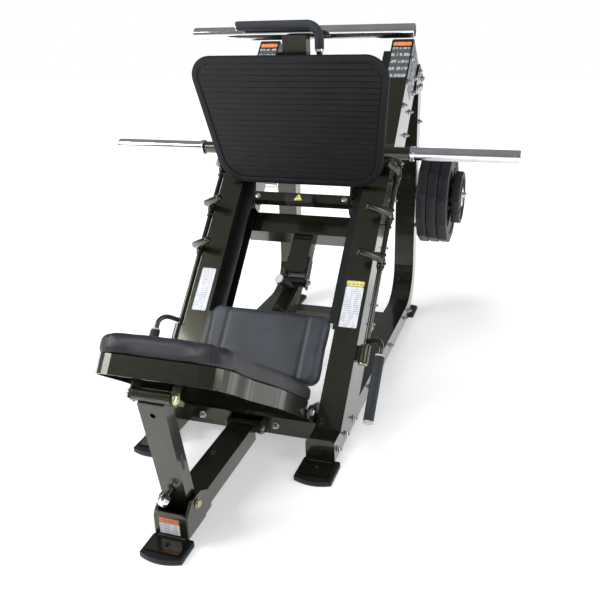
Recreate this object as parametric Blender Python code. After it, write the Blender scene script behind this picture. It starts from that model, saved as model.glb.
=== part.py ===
"""Plate-loaded 45 degree leg press: a fixed frame, a sliding carriage, catches, a seat and a bench.

Metres, +Z up, +X to the side, +Y to the rear; the origin is on the floor under the middle.
"""

from math import atan2, cos, pi, radians, sin

import bmesh
import bpy
from mathutils import Vector

# Driving dimensions
RAIL_ANGLE = radians(46)
HORN_Y = 0.2575
HORN_Z = 0.930
RAIL_DROP = 0.0932
RAIL_X = 0.305
RAIL_WIDTH = 0.095
RAIL_DEPTH = 0.180
RAIL_TOP_T = 0.680
WALL = 0.004
GAP = 0.0003
SLEEVE_R = 0.025
HORN_T = 0.067
HORN_N = 0.065
BASE_Z = 0.0595
TUBE_DEPTH = 0.075
POST_Y = HORN_Y + 0.650
POST_TOP_Z = 1.168
BASE_FRONT_Y = HORN_Y - 0.800
FRONT_END_Y = HORN_Y - 1.385
REAR_FOOT_Y = HORN_Y + 0.695
BEND_R = 0.200
ROUND = 20

INNER_X = RAIL_X - RAIL_WIDTH / 2
OUTER_X = RAIL_X + RAIL_WIDTH / 2
SIDES = (("left", -1), ("right", 1))

# Colours as (red, green, blue), roughness, metallic
PAINT = ((0.045, 0.047, 0.036), 0.30, 0.7)
BLACK_STEEL = ((0.012, 0.012, 0.013), 0.45, 0.4)
CHROME = ((0.80, 0.81, 0.83), 0.08, 1.0)
ZINC = ((0.62, 0.63, 0.64), 0.28, 1.0)
BRASS = ((0.66, 0.55, 0.30), 0.30, 1.0)
RUBBER = ((0.016, 0.018, 0.021), 0.75, 0.0)
FOAM = ((0.030, 0.036, 0.046), 0.85, 0.0)
LEATHER = ((0.035, 0.040, 0.048), 0.50, 0.0)
WHITE_CAP = ((0.70, 0.71, 0.72), 0.40, 0.0)


def clear_scene():
    for obj in list(bpy.data.objects):
        bpy.data.objects.remove(obj)


def material(name, look):
    found = bpy.data.materials.get(name)
    if found:
        return found
    made = bpy.data.materials.new(name)
    made.use_nodes = True
    shader = made.node_tree.nodes["Principled BSDF"]
    shader.inputs["Base Color"].default_value = (*look[0], 1.0)
    shader.inputs["Roughness"].default_value = look[1]
    shader.inputs["Metallic"].default_value = look[2]
    return made


def add(name, bm, look, origin=(0, 0, 0), smooth=30):
    """Makes one object of a mesh in world coordinates, with its origin at the given point."""
    bmesh.ops.recalc_face_normals(bm, faces=bm.faces)
    if sum(face.calc_area() * face.normal.dot(face.calc_center_median()) for face in bm.faces) < 0:
        bmesh.ops.reverse_faces(bm, faces=bm.faces)
    bmesh.ops.translate(bm, verts=bm.verts, vec=-Vector(origin))
    mesh = bpy.data.meshes.new(name)
    bm.to_mesh(mesh)
    bm.free()
    mesh.shade_smooth()
    mesh.set_sharp_from_angle(angle=radians(smooth))
    obj = bpy.data.objects.new(name, mesh)
    obj.location = origin
    mesh.materials.append(material(name, look))
    bpy.context.scene.collection.objects.link(obj)
    return obj


def fuse(name, solids, look, origin=(0, 0, 0), cut=()):
    """Joins overlapping solids into one closed body, then takes the cutters out of it."""
    made = [add(f"{name}_{index}", solid, look) for index, solid in enumerate([*solids, *cut])]
    base = made[0]
    for index, tool in enumerate(made[1:], start=1):
        join = base.modifiers.new(f"tool_{index}", "BOOLEAN")
        join.object = tool
        join.operation = "UNION" if index < len(solids) else "DIFFERENCE"
        join.solver = "EXACT"
    graph = bpy.context.evaluated_depsgraph_get()
    joined = bmesh.new()
    joined.from_object(base, graph)
    for obj in made:
        bpy.data.objects.remove(obj)
    bmesh.ops.remove_doubles(joined, verts=joined.verts, dist=1e-6)
    return add(name, joined, look, origin)


def prism(points, offset):
    """Extrudes a closed 3-D outline by an offset vector."""
    bm = bmesh.new()
    face = bm.faces.new([bm.verts.new(point) for point in points])
    grown = bmesh.ops.extrude_face_region(bm, geom=[face])
    moved = [item for item in grown["geom"] if isinstance(item, bmesh.types.BMVert)]
    bmesh.ops.translate(bm, verts=moved, vec=Vector(offset))
    return bm


def side_plate(outline, x_low, x_high):
    """A plate across X whose (y, z) outline is given."""
    return prism([(x_low, y, z) for y, z in outline], (x_high - x_low, 0, 0))


def block(low, high):
    outline = [(low[1], low[2]), (high[1], low[2]), (high[1], high[2]), (low[1], high[2])]
    return side_plate(outline, low[0], high[0])


def turned(start, direction, profile, segments=ROUND):
    """Turns a profile of (distance along the axis, radius); a ring closes on itself when asked."""
    axis = Vector(direction).normalized()
    aside = axis.orthogonal().normalized()
    other = axis.cross(aside)
    bm = bmesh.new()
    rings = []
    for along, radius in profile:
        centre = Vector(start) + axis * along
        if radius == 0:
            rings.append([bm.verts.new(centre)])
            continue
        angles = [2 * pi * step / segments for step in range(segments)]
        rings.append([bm.verts.new(centre + radius * (aside * cos(a) + other * sin(a))) for a in angles])
    for ring, following in zip(rings, rings[1:]):
        bridge(bm, ring, following)
    return bm


def bridge(bm, ring, following):
    count = max(len(ring), len(following))
    for step in range(count):
        after = (step + 1) % count
        if len(ring) == 1:
            bm.faces.new([ring[0], following[after], following[step]])
        elif len(following) == 1:
            bm.faces.new([ring[step], ring[after], following[0]])
        else:
            bm.faces.new([ring[step], ring[after], following[after], following[step]])


def rod(start, end, radius, segments=ROUND):
    length = (Vector(end) - Vector(start)).length
    profile = [(0, 0), (0, radius), (length, radius), (length, 0)]
    return turned(start, Vector(end) - Vector(start), profile, segments)


def sleeve(start, end, radius, bore, segments=ROUND):
    length = (Vector(end) - Vector(start)).length
    profile = [(0, bore), (0, radius), (length, radius), (length, bore), (0, bore)]
    bm = turned(start, Vector(end) - Vector(start), profile, segments)
    bmesh.ops.remove_doubles(bm, verts=bm.verts, dist=1e-6)
    return bm


def sweep(points, radius, bore=0.0, segments=12):
    """A round bar, or a tube when it has a bore, along 3-D points."""
    points = [Vector(point) for point in points]
    bm = bmesh.new()
    outer, inner = [], []
    normal = None
    for index, point in enumerate(points):
        before = points[max(index - 1, 0)]
        after = points[min(index + 1, len(points) - 1)]
        tangent = (after - before).normalized()
        if normal is None:
            normal = tangent.orthogonal().normalized()
        normal = (normal - tangent * normal.dot(tangent)).normalized()
        other = tangent.cross(normal)
        angles = [2 * pi * step / segments for step in range(segments)]
        around = [normal * cos(a) + other * sin(a) for a in angles]
        outer.append([bm.verts.new(point + radius * way) for way in around])
        if bore:
            inner.append([bm.verts.new(point + bore * way) for way in around])
    for rings in (outer, inner):
        for ring, following in zip(rings, rings[1:]):
            bridge(bm, ring, following)
    if bore:
        bridge(bm, outer[0], inner[0])
        bridge(bm, outer[-1], inner[-1])
    else:
        bm.faces.new(outer[0])
        bm.faces.new(outer[-1])
    return bm


def rounded(corners, radii, steps=5):
    """A 2-D outline whose corners are replaced by arcs of the given radii."""
    outline = []
    count = len(corners)
    for index, (corner, radius) in enumerate(zip(corners, radii)):
        here = Vector(corner)
        back = (Vector(corners[index - 1]) - here).normalized()
        ahead = (Vector(corners[(index + 1) % count]) - here).normalized()
        half = back.angle(ahead) / 2
        if radius == 0:
            outline.append(tuple(here))
            continue
        centre = here + (back + ahead).normalized() * radius / sin(half)
        first = here + back * radius * cos(half) / sin(half) - centre
        last = here + ahead * radius * cos(half) / sin(half) - centre
        start = atan2(first.y, first.x)
        turn = (atan2(last.y, last.x) - start + pi) % (2 * pi) - pi
        for step in range(steps + 1):
            angle = start + turn * step / steps
            outline.append((centre.x + radius * cos(angle), centre.y + radius * sin(angle)))
    return outline


def arc(centre, radius, start, end, steps):
    angles = [radians(start + (end - start) * step / steps) for step in range(steps + 1)]
    return [(centre[0] + radius * cos(a), centre[1] + radius * sin(a)) for a in angles]


def box_tube(x, path, width, depth, wall, first_cut=None, last_cut=None):
    """A rectangular tube with open ends along a (y, z) path, mitred at its corners."""
    path = [Vector(point) for point in path]
    ways = [(after - before).normalized() for before, after in zip(path, path[1:])]
    sides = [Vector((-way.y, way.x)) for way in ways]
    rings = []
    for index, point in enumerate(path):
        side = sides[min(index, len(sides) - 1)]
        mitre = side if index in (0, len(path) - 1) else (sides[index - 1] + sides[index]).normalized()
        if index == 0 and first_cut:
            mitre = Vector(first_cut).normalized()
        if index == len(path) - 1 and last_cut:
            mitre = Vector(last_cut).normalized()
        rings.append((point, mitre / mitre.dot(side)))
    bm = bmesh.new()

    def loop(point, mitre, half_width, half_depth):
        corners = ((-1, -1), (1, -1), (1, 1), (-1, 1))
        made = []
        for across, along in corners:
            y, z = point + mitre * along * half_depth
            made.append(bm.verts.new((x + across * half_width, y, z)))
        return made

    outer = [loop(point, mitre, width / 2, depth / 2) for point, mitre in rings]
    inner = [loop(point, mitre, width / 2 - wall, depth / 2 - wall) for point, mitre in rings]
    for loops in (outer, inner):
        for ring, following in zip(loops, loops[1:]):
            bridge(bm, ring, following)
    bridge(bm, outer[0], inner[0])
    bridge(bm, outer[-1], inner[-1])
    return bm


# The rail's own directions: t runs up along it, n stands out of its top face.
def on_rail(t, n):
    y = HORN_Y + t * cos(RAIL_ANGLE) - n * sin(RAIL_ANGLE)
    z = HORN_Z - RAIL_DROP + t * sin(RAIL_ANGLE) + n * cos(RAIL_ANGLE)
    return y, z


def rail_outline(points):
    return [on_rail(t, n) for t, n in points]


def rail_spot(x, t, n):
    return Vector((x, *on_rail(t, n)))


def rail_bar(x_low, x_high, t_low, t_high, n_low, n_high):
    outline = rail_outline([(t_low, n_low), (t_high, n_low), (t_high, n_high), (t_low, n_high)])
    return side_plate(outline, x_low, x_high)


# Fixed frame
def make_side_frames():
    base_top = BASE_Z + TUBE_DEPTH / 2
    for side, sign in SIDES:
        x = sign * RAIL_X
        middle = -RAIL_DEPTH / 2
        foot_t = (base_top + GAP - on_rail(0, middle)[1]) / sin(RAIL_ANGLE)
        path = [on_rail(foot_t, middle), on_rail(RAIL_TOP_T, middle)]
        rail = box_tube(x, path, RAIL_WIDTH, RAIL_DEPTH, WALL, first_cut=(-1, 0))
        add(f"{side}_rail", rail, PAINT)
        bend = arc((POST_Y - BEND_R, BASE_Z + BEND_R), BEND_R, -90, 0, 8)
        path = [(BASE_FRONT_Y, BASE_Z), *bend, (POST_Y, POST_TOP_Z)]
        post = box_tube(x, path, RAIL_WIDTH, TUBE_DEPTH, WALL, last_cut=(-1, 1))
        add(f"{side}_base_post", post, PAINT)


GUIDE_WEB_X = INNER_X - GAP
GUIDE_THICK = 0.004
GUIDE_EDGE_X = 0.2162
GUIDE_N = (-0.115, -0.045)
GUIDE_T = (-0.620, 0.660)


def make_guide_channels():
    for side, sign in SIDES:
        low, high = GUIDE_N
        web, lip, edge = GUIDE_WEB_X, GUIDE_WEB_X - GUIDE_THICK, GUIDE_EDGE_X
        section = [
            (web, low),
            (web, high),
            (edge, high),
            (edge, high - GUIDE_THICK),
            (lip, high - GUIDE_THICK),
            (lip, low + GUIDE_THICK),
            (edge, low + GUIDE_THICK),
            (edge, low),
        ]
        start, end = GUIDE_T
        outline = [rail_spot(sign * x, start, n) for x, n in section]
        along = rail_spot(0, end, 0) - rail_spot(0, start, 0)
        add(f"{side}_guide_channel", prism(outline, along), BLACK_STEEL)


BEAM_T = (-0.215, -0.125)
BEAM_N = (-0.215, -0.125)
CROSS_X = INNER_X - GAP
COLUMN_T = -0.370
COLUMN_N = (-0.212, -0.152)
SEAT_PIVOT = (-0.405, -0.190)


def cross_tube(centre, depth_y, depth_z):
    """A rectangular tube across the frame, with open ends that meet the side frames."""
    y, z = centre
    half_y, half_z = depth_y / 2, depth_z / 2
    outer = block((-CROSS_X, y - half_y, z - half_z), (CROSS_X, y + half_y, z + half_z))
    bore_y, bore_z = half_y - WALL, half_z - WALL
    inner = block((-0.3, y - bore_y, z - bore_z), (0.3, y + bore_y, z + bore_z))
    return outer, inner


FRONT_CROSS = (HORN_Y - 0.667, 0.0700)
REAR_CROSS_Z = 0.880


def make_cross_members():
    beam = rail_bar(-CROSS_X, CROSS_X, *BEAM_T, *BEAM_N)
    bore = rail_bar(-0.3, 0.3, BEAM_T[0] + WALL, BEAM_T[1] - WALL, BEAM_N[0] + WALL, BEAM_N[1] - WALL)
    fuse("mid_cross_beam", [beam], PAINT, cut=[bore])
    for name, centre, deep, tall in (
        ("front_cross_member", FRONT_CROSS, 0.068, 0.070),
        ("rear_cross_member", (POST_Y, REAR_CROSS_Z), 0.050, 0.080),
        ("floor_cross_member", (HORN_Y + 0.355, BASE_Z), 0.080, 0.050),
    ):
        outer, inner = cross_tube(centre, deep, tall)
        fuse(name, [outer], PAINT, cut=[inner])


def make_center_column():
    top = BEAM_T[0] - GAP
    tube = box_tube(
        0,
        [on_rail(top, sum(COLUMN_N) / 2), on_rail(COLUMN_T, sum(COLUMN_N) / 2)],
        0.085,
        COLUMN_N[1] - COLUMN_N[0],
        WALL,
    )
    ears = []
    for sign in (-1, 1):
        outline = rail_outline(
            [(-0.300, -0.205), (-0.300, -0.160), (-0.405, -0.160), (-0.430, -0.180), (-0.430, -0.215)]
        )
        low, high = sorted((sign * 0.0415, sign * 0.0485))
        ears.append(side_plate(outline, low, high))
    fuse("center_column", [tube, *ears], PAINT)


FOOT_PLATE_TOP = 0.112
PAD_THICK = 0.018


def foot_pad(x, front, back, half, low=0.0):
    """A rubber pad with a bowed front edge."""
    bow = 0.016
    steps = 6
    outline = [(x + half, back), (x - half, back)]
    for step in range(steps + 1):
        across = 2 * step / steps - 1
        outline.append((x + across * half, front + bow * across * across))
    return prism([(px, py, low) for px, py in outline], (0, 0, PAD_THICK))


def foot_bracket(x, plate_y, front, half, thick=0.007):
    """An upright plate with rounded top corners and a flange forward, which holds the pad."""
    low = PAD_THICK + GAP
    corners = [(x - half, low), (x + half, low), (x + half, FOOT_PLATE_TOP), (x - half, FOOT_PLATE_TOP)]
    upright = prism(
        [(px, plate_y, pz) for px, pz in rounded(corners, (0, 0, 0.02, 0.02))], (0, -thick, 0)
    )
    flange = block((x - half, front, low), (x + half, plate_y - 0.001, low + thick))
    return upright, flange


def make_feet():
    for side, sign in SIDES:
        x = sign * RAIL_X
        plate_y = BASE_FRONT_Y - GAP
        upright, flange = foot_bracket(x, plate_y, plate_y - 0.085, 0.052)
        fuse(f"{side}_front_foot", [upright, flange], PAINT)
        add(f"{side}_front_foot_pad", foot_pad(x, plate_y - 0.115, plate_y + 0.020, 0.066), RUBBER)
        pad = foot_pad(x, -REAR_FOOT_Y, 0.140 - REAR_FOOT_Y, 0.066)
        bmesh.ops.scale(pad, vec=(1, -1, 1), verts=pad.verts)
        add(f"{side}_rear_foot_pad", pad, RUBBER)


PEG_Z = 0.622
PEG_R = 0.0125
PLATE_BORE = 0.0253
STORED = (
    ("storage_plate_large_1", 0.3860, 0.0455, 0.220),
    ("storage_plate_large_2", 0.4335, 0.0455, 0.220),
    ("storage_plate_large_3", 0.4810, 0.0455, 0.220),
    ("storage_plate_small", 0.5350, 0.0380, 0.125),
)


def make_storage():
    """A thin peg on each post; the right one carries plates that hang by their bores."""
    for side, sign in SIDES:
        root = sign * (OUTER_X + GAP)
        flange = rod((root, POST_Y, PEG_Z), (root + sign * 0.008, POST_Y, PEG_Z), 0.034)
        peg = rod((root + sign * 0.004, POST_Y, PEG_Z), (sign * 0.592, POST_Y, PEG_Z), PEG_R)
        fuse(f"{side}_storage_peg", [flange, peg], ZINC)
    hang = PLATE_BORE - PEG_R - GAP
    for name, x, thick, radius in STORED:
        bore = PLATE_BORE
        rim = radius * 0.82
        hub = bore * 2.0
        step = 0.006
        profile = [
            (0, bore),
            (0, hub),
            (step, hub + 0.004),
            (step, rim - 0.006),
            (0, rim),
            (0, radius - 0.006),
            (0.006, radius),
            (thick - 0.006, radius),
            (thick, radius - 0.006),
            (thick, rim),
            (thick - step, rim - 0.006),
            (thick - step, hub + 0.004),
            (thick, hub),
            (thick, bore),
            (0, bore),
        ]
        plate = turned((x, POST_Y, PEG_Z - hang), (1, 0, 0), profile, 24)
        bmesh.ops.remove_doubles(plate, verts=plate.verts, dist=1e-6)
        add(name, plate, RUBBER)


# Carriage
HORN_END = 0.8485
COLLAR_X = 0.4360
HORN_TUBE_R = 0.024
BAR_HALF = 0.4405
BAR_Y = HORN_Y + 0.001
BAR_Z = HORN_Z + 0.444
FOOT_LEAN = radians(16)
FOOT_LOW = (HORN_Y - 0.051, HORN_Z - 0.130)
FOOT_LENGTH = 0.522
MAT_THICK = 0.010
PLATE_STEEL = 0.008
SPINE_Y = (HORN_Y - 0.0745, HORN_Y - HORN_TUBE_R - 0.0005)


def on_foot_plate(across, up, out):
    """A point in the foot plate's frame: up along its face, out towards the user."""
    y = FOOT_LOW[0] - up * sin(FOOT_LEAN) - out * cos(FOOT_LEAN)
    z = FOOT_LOW[1] + up * cos(FOOT_LEAN) - out * sin(FOOT_LEAN)
    return Vector((across, y, z))


def foot_outline(inset=0.0):
    corners = [
        (-0.334 + inset, inset),
        (0.334 - inset, inset),
        (0.397 - inset, FOOT_LENGTH - inset),
        (-0.397 + inset, FOOT_LENGTH - inset),
    ]
    return rounded(corners, (0.112 - inset, 0.112 - inset, 0.085 - inset, 0.085 - inset), 6)


def strut(reach, end_y, half_width):
    """A block from two heights on the back of the foot plate to an upright face behind it."""
    outline = [(point.y, point.z) for point in reach]
    outline += [(end_y, reach[1].z), (end_y, reach[0].z)]
    return side_plate(outline, -half_width, half_width)


def make_foot_plate():
    back = -MAT_THICK - GAP
    mat = prism([on_foot_plate(x, up, 0) for x, up in foot_outline()], tilt_out(-MAT_THICK))
    add("foot_mat", mat, RUBBER)
    steel = prism([on_foot_plate(x, up, back) for x, up in foot_outline(0.006)], tilt_out(-PLATE_STEEL))
    upper_reach = [on_foot_plate(0, up, back - 0.004) for up in (0.380, 0.440)]
    upper = strut(upper_reach, SPINE_Y[0] - GAP, 0.030)
    horn_front = HORN_Y - HORN_TUBE_R - GAP
    lower_reach = [on_foot_plate(0, up, back - 0.004) for up in (0.116, 0.146)]
    lower = strut(lower_reach, horn_front, 0.070)
    fuse("foot_plate", [steel, upper, lower], PAINT)


def tilt_out(distance):
    return on_foot_plate(0, 0, distance) - on_foot_plate(0, 0, 0)


ROLLER_T = (-0.100, 0.250)
ROLLER_N = -0.080
ROLLER_R = 0.0305
ROLLER_X = (0.2215, 0.2475)
AXLE_R = 0.008
SIDE_PLATE_X = (0.2025, 0.2105)


def make_carriage_frame():
    corners = [(-0.140, -0.108), (0.290, -0.108), (0.290, -0.055)]
    corners += [(0.105, 0.0405), (0.036, 0.0405), (-0.140, -0.060)]
    outline = rail_outline(corners)
    solids = []
    for _, sign in SIDES:
        low, high = sorted(sign * x for x in SIDE_PLATE_X)
        solids.append(side_plate(outline, low, high))
    for t in ROLLER_T:
        solids.append(rail_bar(-0.204, 0.204, t - 0.020, t + 0.020, -0.065, -0.025))
        for _, sign in SIDES:
            start = rail_spot(sign * 0.206, t, ROLLER_N)
            end = rail_spot(sign * 0.2500, t, ROLLER_N)
            solids.append(rod(start, end, AXLE_R, 12))
    fuse("carriage_frame", solids, PAINT)


def make_rollers():
    for side, sign in SIDES:
        for place, t in zip(("lower", "upper"), ROLLER_T):
            start, end = (rail_spot(sign * x, t, ROLLER_N) for x in ROLLER_X)
            roller = sleeve(start, end, ROLLER_R, AXLE_R + GAP)
            add(f"{side}_{place}_roller", roller, WHITE_CAP, rail_spot(0, t, ROLLER_N))


def make_horns():
    tube = sleeve((-COLLAR_X, HORN_Y, HORN_Z), (COLLAR_X, HORN_Y, HORN_Z), HORN_TUBE_R, HORN_TUBE_R - WALL)
    add("horn_tube", tube, PAINT)
    for side, sign in SIDES:
        start = (sign * (COLLAR_X + GAP), HORN_Y, HORN_Z)
        length = HORN_END - COLLAR_X - GAP
        collar = 0.016
        rim = 0.003
        profile = [
            (0, 0),
            (0, 0.030),
            (collar, 0.030),
            (collar, SLEEVE_R),
            (length - rim, SLEEVE_R),
            (length, SLEEVE_R - rim),
            (length, 0),
        ]
        add(f"{side}_horn_sleeve", turned(start, (sign, 0, 0), profile), CHROME)


def make_spine_and_bar():
    path = [((SPINE_Y[0] + SPINE_Y[1]) / 2, z) for z in (HORN_Z + 0.030, BAR_Z - 0.007)]
    spine = box_tube(0, path, 0.095, SPINE_Y[1] - SPINE_Y[0], WALL)
    saddle_low = HORN_Z + HORN_TUBE_R + GAP
    saddle = block((-0.0475, SPINE_Y[0], saddle_low), (0.0475, HORN_Y + 0.024, saddle_low + 0.012))
    fuse("carriage_spine", [spine, saddle], PAINT)
    ends = [(sign * BAR_HALF, BAR_Y, BAR_Z) for sign in (-1, 1)]
    add("top_bar", sleeve(*ends, SLEEVE_R, SLEEVE_R - 0.003), CHROME)


HANDLE_R = 0.0120
HANDLE_FOAM_R = 0.0175
HANDLE_Y = HORN_Y - 0.060
HANDLE_Z = HORN_Z + 0.473


def loading_handle_path(start_x, end_z):
    """Across over the spine, round a bend, then down its right side."""
    bend = arc((0.047, HANDLE_Z - 0.048), 0.048, 90, 0, 6)
    path = [(start_x, HANDLE_Y, HANDLE_Z), *[(x, HANDLE_Y, z) for x, z in bend]]
    return [*path, (0.095, HANDLE_Y, end_z)]


def make_loading_handle():
    end_z = HORN_Z + 0.330
    down = loading_handle_path(-0.238, end_z)
    turn = arc((0.072, end_z), 0.023, 0, -90, 4)
    down += [(x, HANDLE_Y, z) for x, z in turn[1:]] + [(0.0478, HANDLE_Y, end_z - 0.023)]
    add("loading_handle", sweep(down, HANDLE_R), PAINT)
    foam = loading_handle_path(-0.230, HORN_Z + 0.388)
    add("loading_handle_foam", sweep(foam, HANDLE_FOAM_R, HANDLE_R + GAP), FOAM)


# Safety catches
SHAFT_X = 0.379
SHAFT_N = -0.027
SHAFT_R = 0.010
SHAFT_T = (-0.722, 0.085)
# Each hook's place along its shaft, its tip's reach inwards and its rise; the top one clears the foot plate
HOOKS = ((-0.365, 0.075, 0.095), (-0.172, 0.075, 0.095), (0.022, 0.030, 0.093))
HOOK_R = 0.015
HOOK_KNEE = 0.047
HOOK_BACK = 0.014
GRIP_X = 0.447
GRIP_N = 0.025
GRIP_T = (-0.990, -0.745)


def make_safety_shafts():
    for side, sign in SIDES:
        solids = [rod(*[rail_spot(sign * SHAFT_X, t, SHAFT_N) for t in SHAFT_T], SHAFT_R, 16)]
        for t, lean, rise in HOOKS:
            centre = rail_spot(sign * SHAFT_X, t, SHAFT_N)
            ends = [rail_spot(sign * SHAFT_X, t + along, SHAFT_N) for along in (-0.018, 0.018)]
            solids.append(rod(*ends, SHAFT_R + 0.006, 16))
            knee = rail_spot(sign * SHAFT_X, t, SHAFT_N + HOOK_KNEE)
            tip = rail_spot(sign * (SHAFT_X - lean), t, SHAFT_N + rise)
            solids.append(rod(centre, knee, HOOK_R - 0.004, 14))
            length = (tip - knee).length + HOOK_BACK
            start = knee + (knee - tip).normalized() * HOOK_BACK
            profile = [(0, 0), (0, HOOK_R - 0.002), (0.002, HOOK_R), (length - HOOK_R * 0.6, HOOK_R)]
            profile += [(length - 0.003, HOOK_R * 0.7), (length, 0)]
            solids.append(turned(start, tip - start, profile, 14))
        solids.append(handle_arm(sign))
        origin = rail_spot(sign * SHAFT_X, GRIP_T[1], SHAFT_N)
        fuse(f"{side}_safety_shaft", solids, PAINT, origin)
        ends = [rail_spot(sign * GRIP_X, t, GRIP_N) for t in GRIP_T]
        add(f"{side}_safety_grip", sleeve(*ends, 0.0185, 0.0098, 16), FOAM, origin)


def handle_arm(sign):
    """Out from the shaft, then bent down along the rail through the grip."""
    bend = 0.040
    start_t = GRIP_T[1] + 0.062
    out = Vector((GRIP_X - SHAFT_X, 0, GRIP_N - SHAFT_N))
    reach = out.length
    way = out / reach
    path = [(along, start_t) for along in (0.0, reach - bend)]
    path += arc((reach - bend, start_t - bend), bend, 90, 0, 5)[1:]
    path.append((reach, GRIP_T[0] - 0.004))
    points = [rail_spot(sign * (SHAFT_X + way.x * a), t, SHAFT_N + way.z * a) for a, t in path]
    return sweep(points, 0.0095)


def make_shaft_housings():
    """A bearing at the lower end of each safety shaft, on a bracket from the rail."""
    for side, sign in SIDES:
        ends = [rail_spot(sign * SHAFT_X, t, SHAFT_N) for t in (-0.767, -0.699)]
        barrel = rod(*ends, 0.0190)
        low, high = sorted((sign * (OUTER_X + GAP), sign * SHAFT_X))
        outline = rail_outline([(-0.762, -0.040), (-0.704, -0.040), (-0.704, -0.014), (-0.762, -0.014)])
        bracket = side_plate(outline, low, high)
        bore = rod(*[rail_spot(sign * SHAFT_X, t, SHAFT_N) for t in (-0.7225, -0.690)], SHAFT_R + GAP, 16)
        fuse(f"{side}_shaft_housing", [barrel, bracket], PAINT, cut=[bore])


# Seat, which folds about the lower end of the center column
SEAT_TOP = (-0.616, 0.028)
SEAT_LENGTH = 0.265
SEAT_HALF = 0.236
SEAT_THICK = 0.052
SEAT_STEEL = 0.006


def seat_slab(inset, front, thick):
    """A slab parallel to the rails, behind the seat's front face by the given distance."""
    half, high, low = SEAT_HALF - inset, SEAT_TOP[0] - inset, SEAT_TOP[0] - SEAT_LENGTH + inset
    corners = [(-half, low), (half, low), (half, high), (-half, high)]
    outline = rounded(corners, [0.048 - inset / 2] * 4)
    offset = rail_spot(0, 0, -thick) - rail_spot(0, 0, 0)
    return prism([rail_spot(x, t, SEAT_TOP[1] - front) for x, t in outline], offset)


def make_seat():
    pivot = (0, *on_rail(*SEAT_PIVOT))
    add("seat_pad", seat_slab(0, 0, SEAT_THICK), LEATHER, pivot)
    add("seat_plate", seat_slab(0.020, SEAT_THICK + GAP, SEAT_STEEL), BLACK_STEEL, pivot)
    back = SEAT_TOP[1] - SEAT_THICK - SEAT_STEEL - 2 * GAP
    outline = [(-0.410, -0.172), (-0.410, -0.208), (-0.640, -0.170), (-0.830, back), (-0.650, back)]
    web = side_plate(rail_outline(outline), -0.030, 0.030)
    barrel = rod((-0.0405, *pivot[1:]), (0.0405, *pivot[1:]), 0.021)
    fuse("seat_arm", [barrel, web], PAINT, pivot)
    way = Vector((-0.30, -0.72, 0.62)).normalized()
    start = Vector((0, pivot[1] - 0.075, pivot[2] + 0.010)) - 0.012 * way
    profile = [(0, 0), (0, 0.010), (0.026, 0.010), (0.026, 0.021)]
    profile += [(0.087, 0.021), (0.094, 0.016), (0.094, 0)]
    add("seat_lock_handle", turned(start, way, profile), RUBBER, start)


# Bench: an inclined pad on a steel tray, a front leg and a floor tube that fold together
BENCH_LOW = (HORN_Y - 0.687, 0.178)
BENCH_ANGLE = radians(35.8)
BENCH_LENGTH = 0.721
BENCH_HIP = 0.240
BENCH_HEAD = 0.204
PAD_OVERHANG = 0.009
BENCH_WAIST = (0.360, 0.500)
BENCH_PAD = 0.055
BENCH_SKIRT = 0.058
BENCH_PIVOT_UP = 0.035
BENCH_PIVOT_OUT = -0.035
LEG_TOP_UP = 0.690
LEG_TOP_OUT = -0.096
LEG_FOOT = (HORN_Y - 1.225, 0.108)
FLOOR_PIVOT = (HORN_Y - 0.735, 0.075)


def on_bench(across, up, out):
    y = BENCH_LOW[0] - up * cos(BENCH_ANGLE) + out * sin(BENCH_ANGLE)
    z = BENCH_LOW[1] + up * sin(BENCH_ANGLE) + out * cos(BENCH_ANGLE)
    return Vector((across, y, z))


def bench_outline(inset=0.0):
    """Wide at the hips, narrowing through a soft shoulder to the head end."""
    hip, head = BENCH_HIP - inset, BENCH_HEAD - inset
    low, top = inset, BENCH_LENGTH - inset
    right = [(hip, low), (hip, BENCH_WAIST[0]), (head, BENCH_WAIST[1]), (head, top)]
    left = [(-x, up) for x, up in reversed(right)]
    return rounded([*right, *left], (0.05, 0.12, 0.12, 0.07, 0.07, 0.12, 0.12, 0.05))


def bench_offset(distance):
    return on_bench(0, 0, distance) - on_bench(0, 0, 0)


def make_bench():
    pivot = on_bench(0, BENCH_PIVOT_UP, BENCH_PIVOT_OUT)
    pad = prism([on_bench(x, up, GAP) for x, up in bench_outline(-PAD_OVERHANG)], bench_offset(BENCH_PAD))
    add("bench_pad", pad, LEATHER, pivot)
    shell = prism([on_bench(x, up, 0) for x, up in bench_outline()], bench_offset(-BENCH_SKIRT))
    hollow = prism([on_bench(x, up, -WALL) for x, up in bench_outline(WALL)], bench_offset(-BENCH_SKIRT))
    bores = []
    for _, sign in SIDES:
        bores.append(rod((sign * 0.300, pivot.y, pivot.z), (sign * 0.200, pivot.y, pivot.z), 0.0083, 16))
    fuse("bench_tray", [shell], PAINT, pivot, cut=[hollow, *bores])
    make_bench_ears(pivot)


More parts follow.
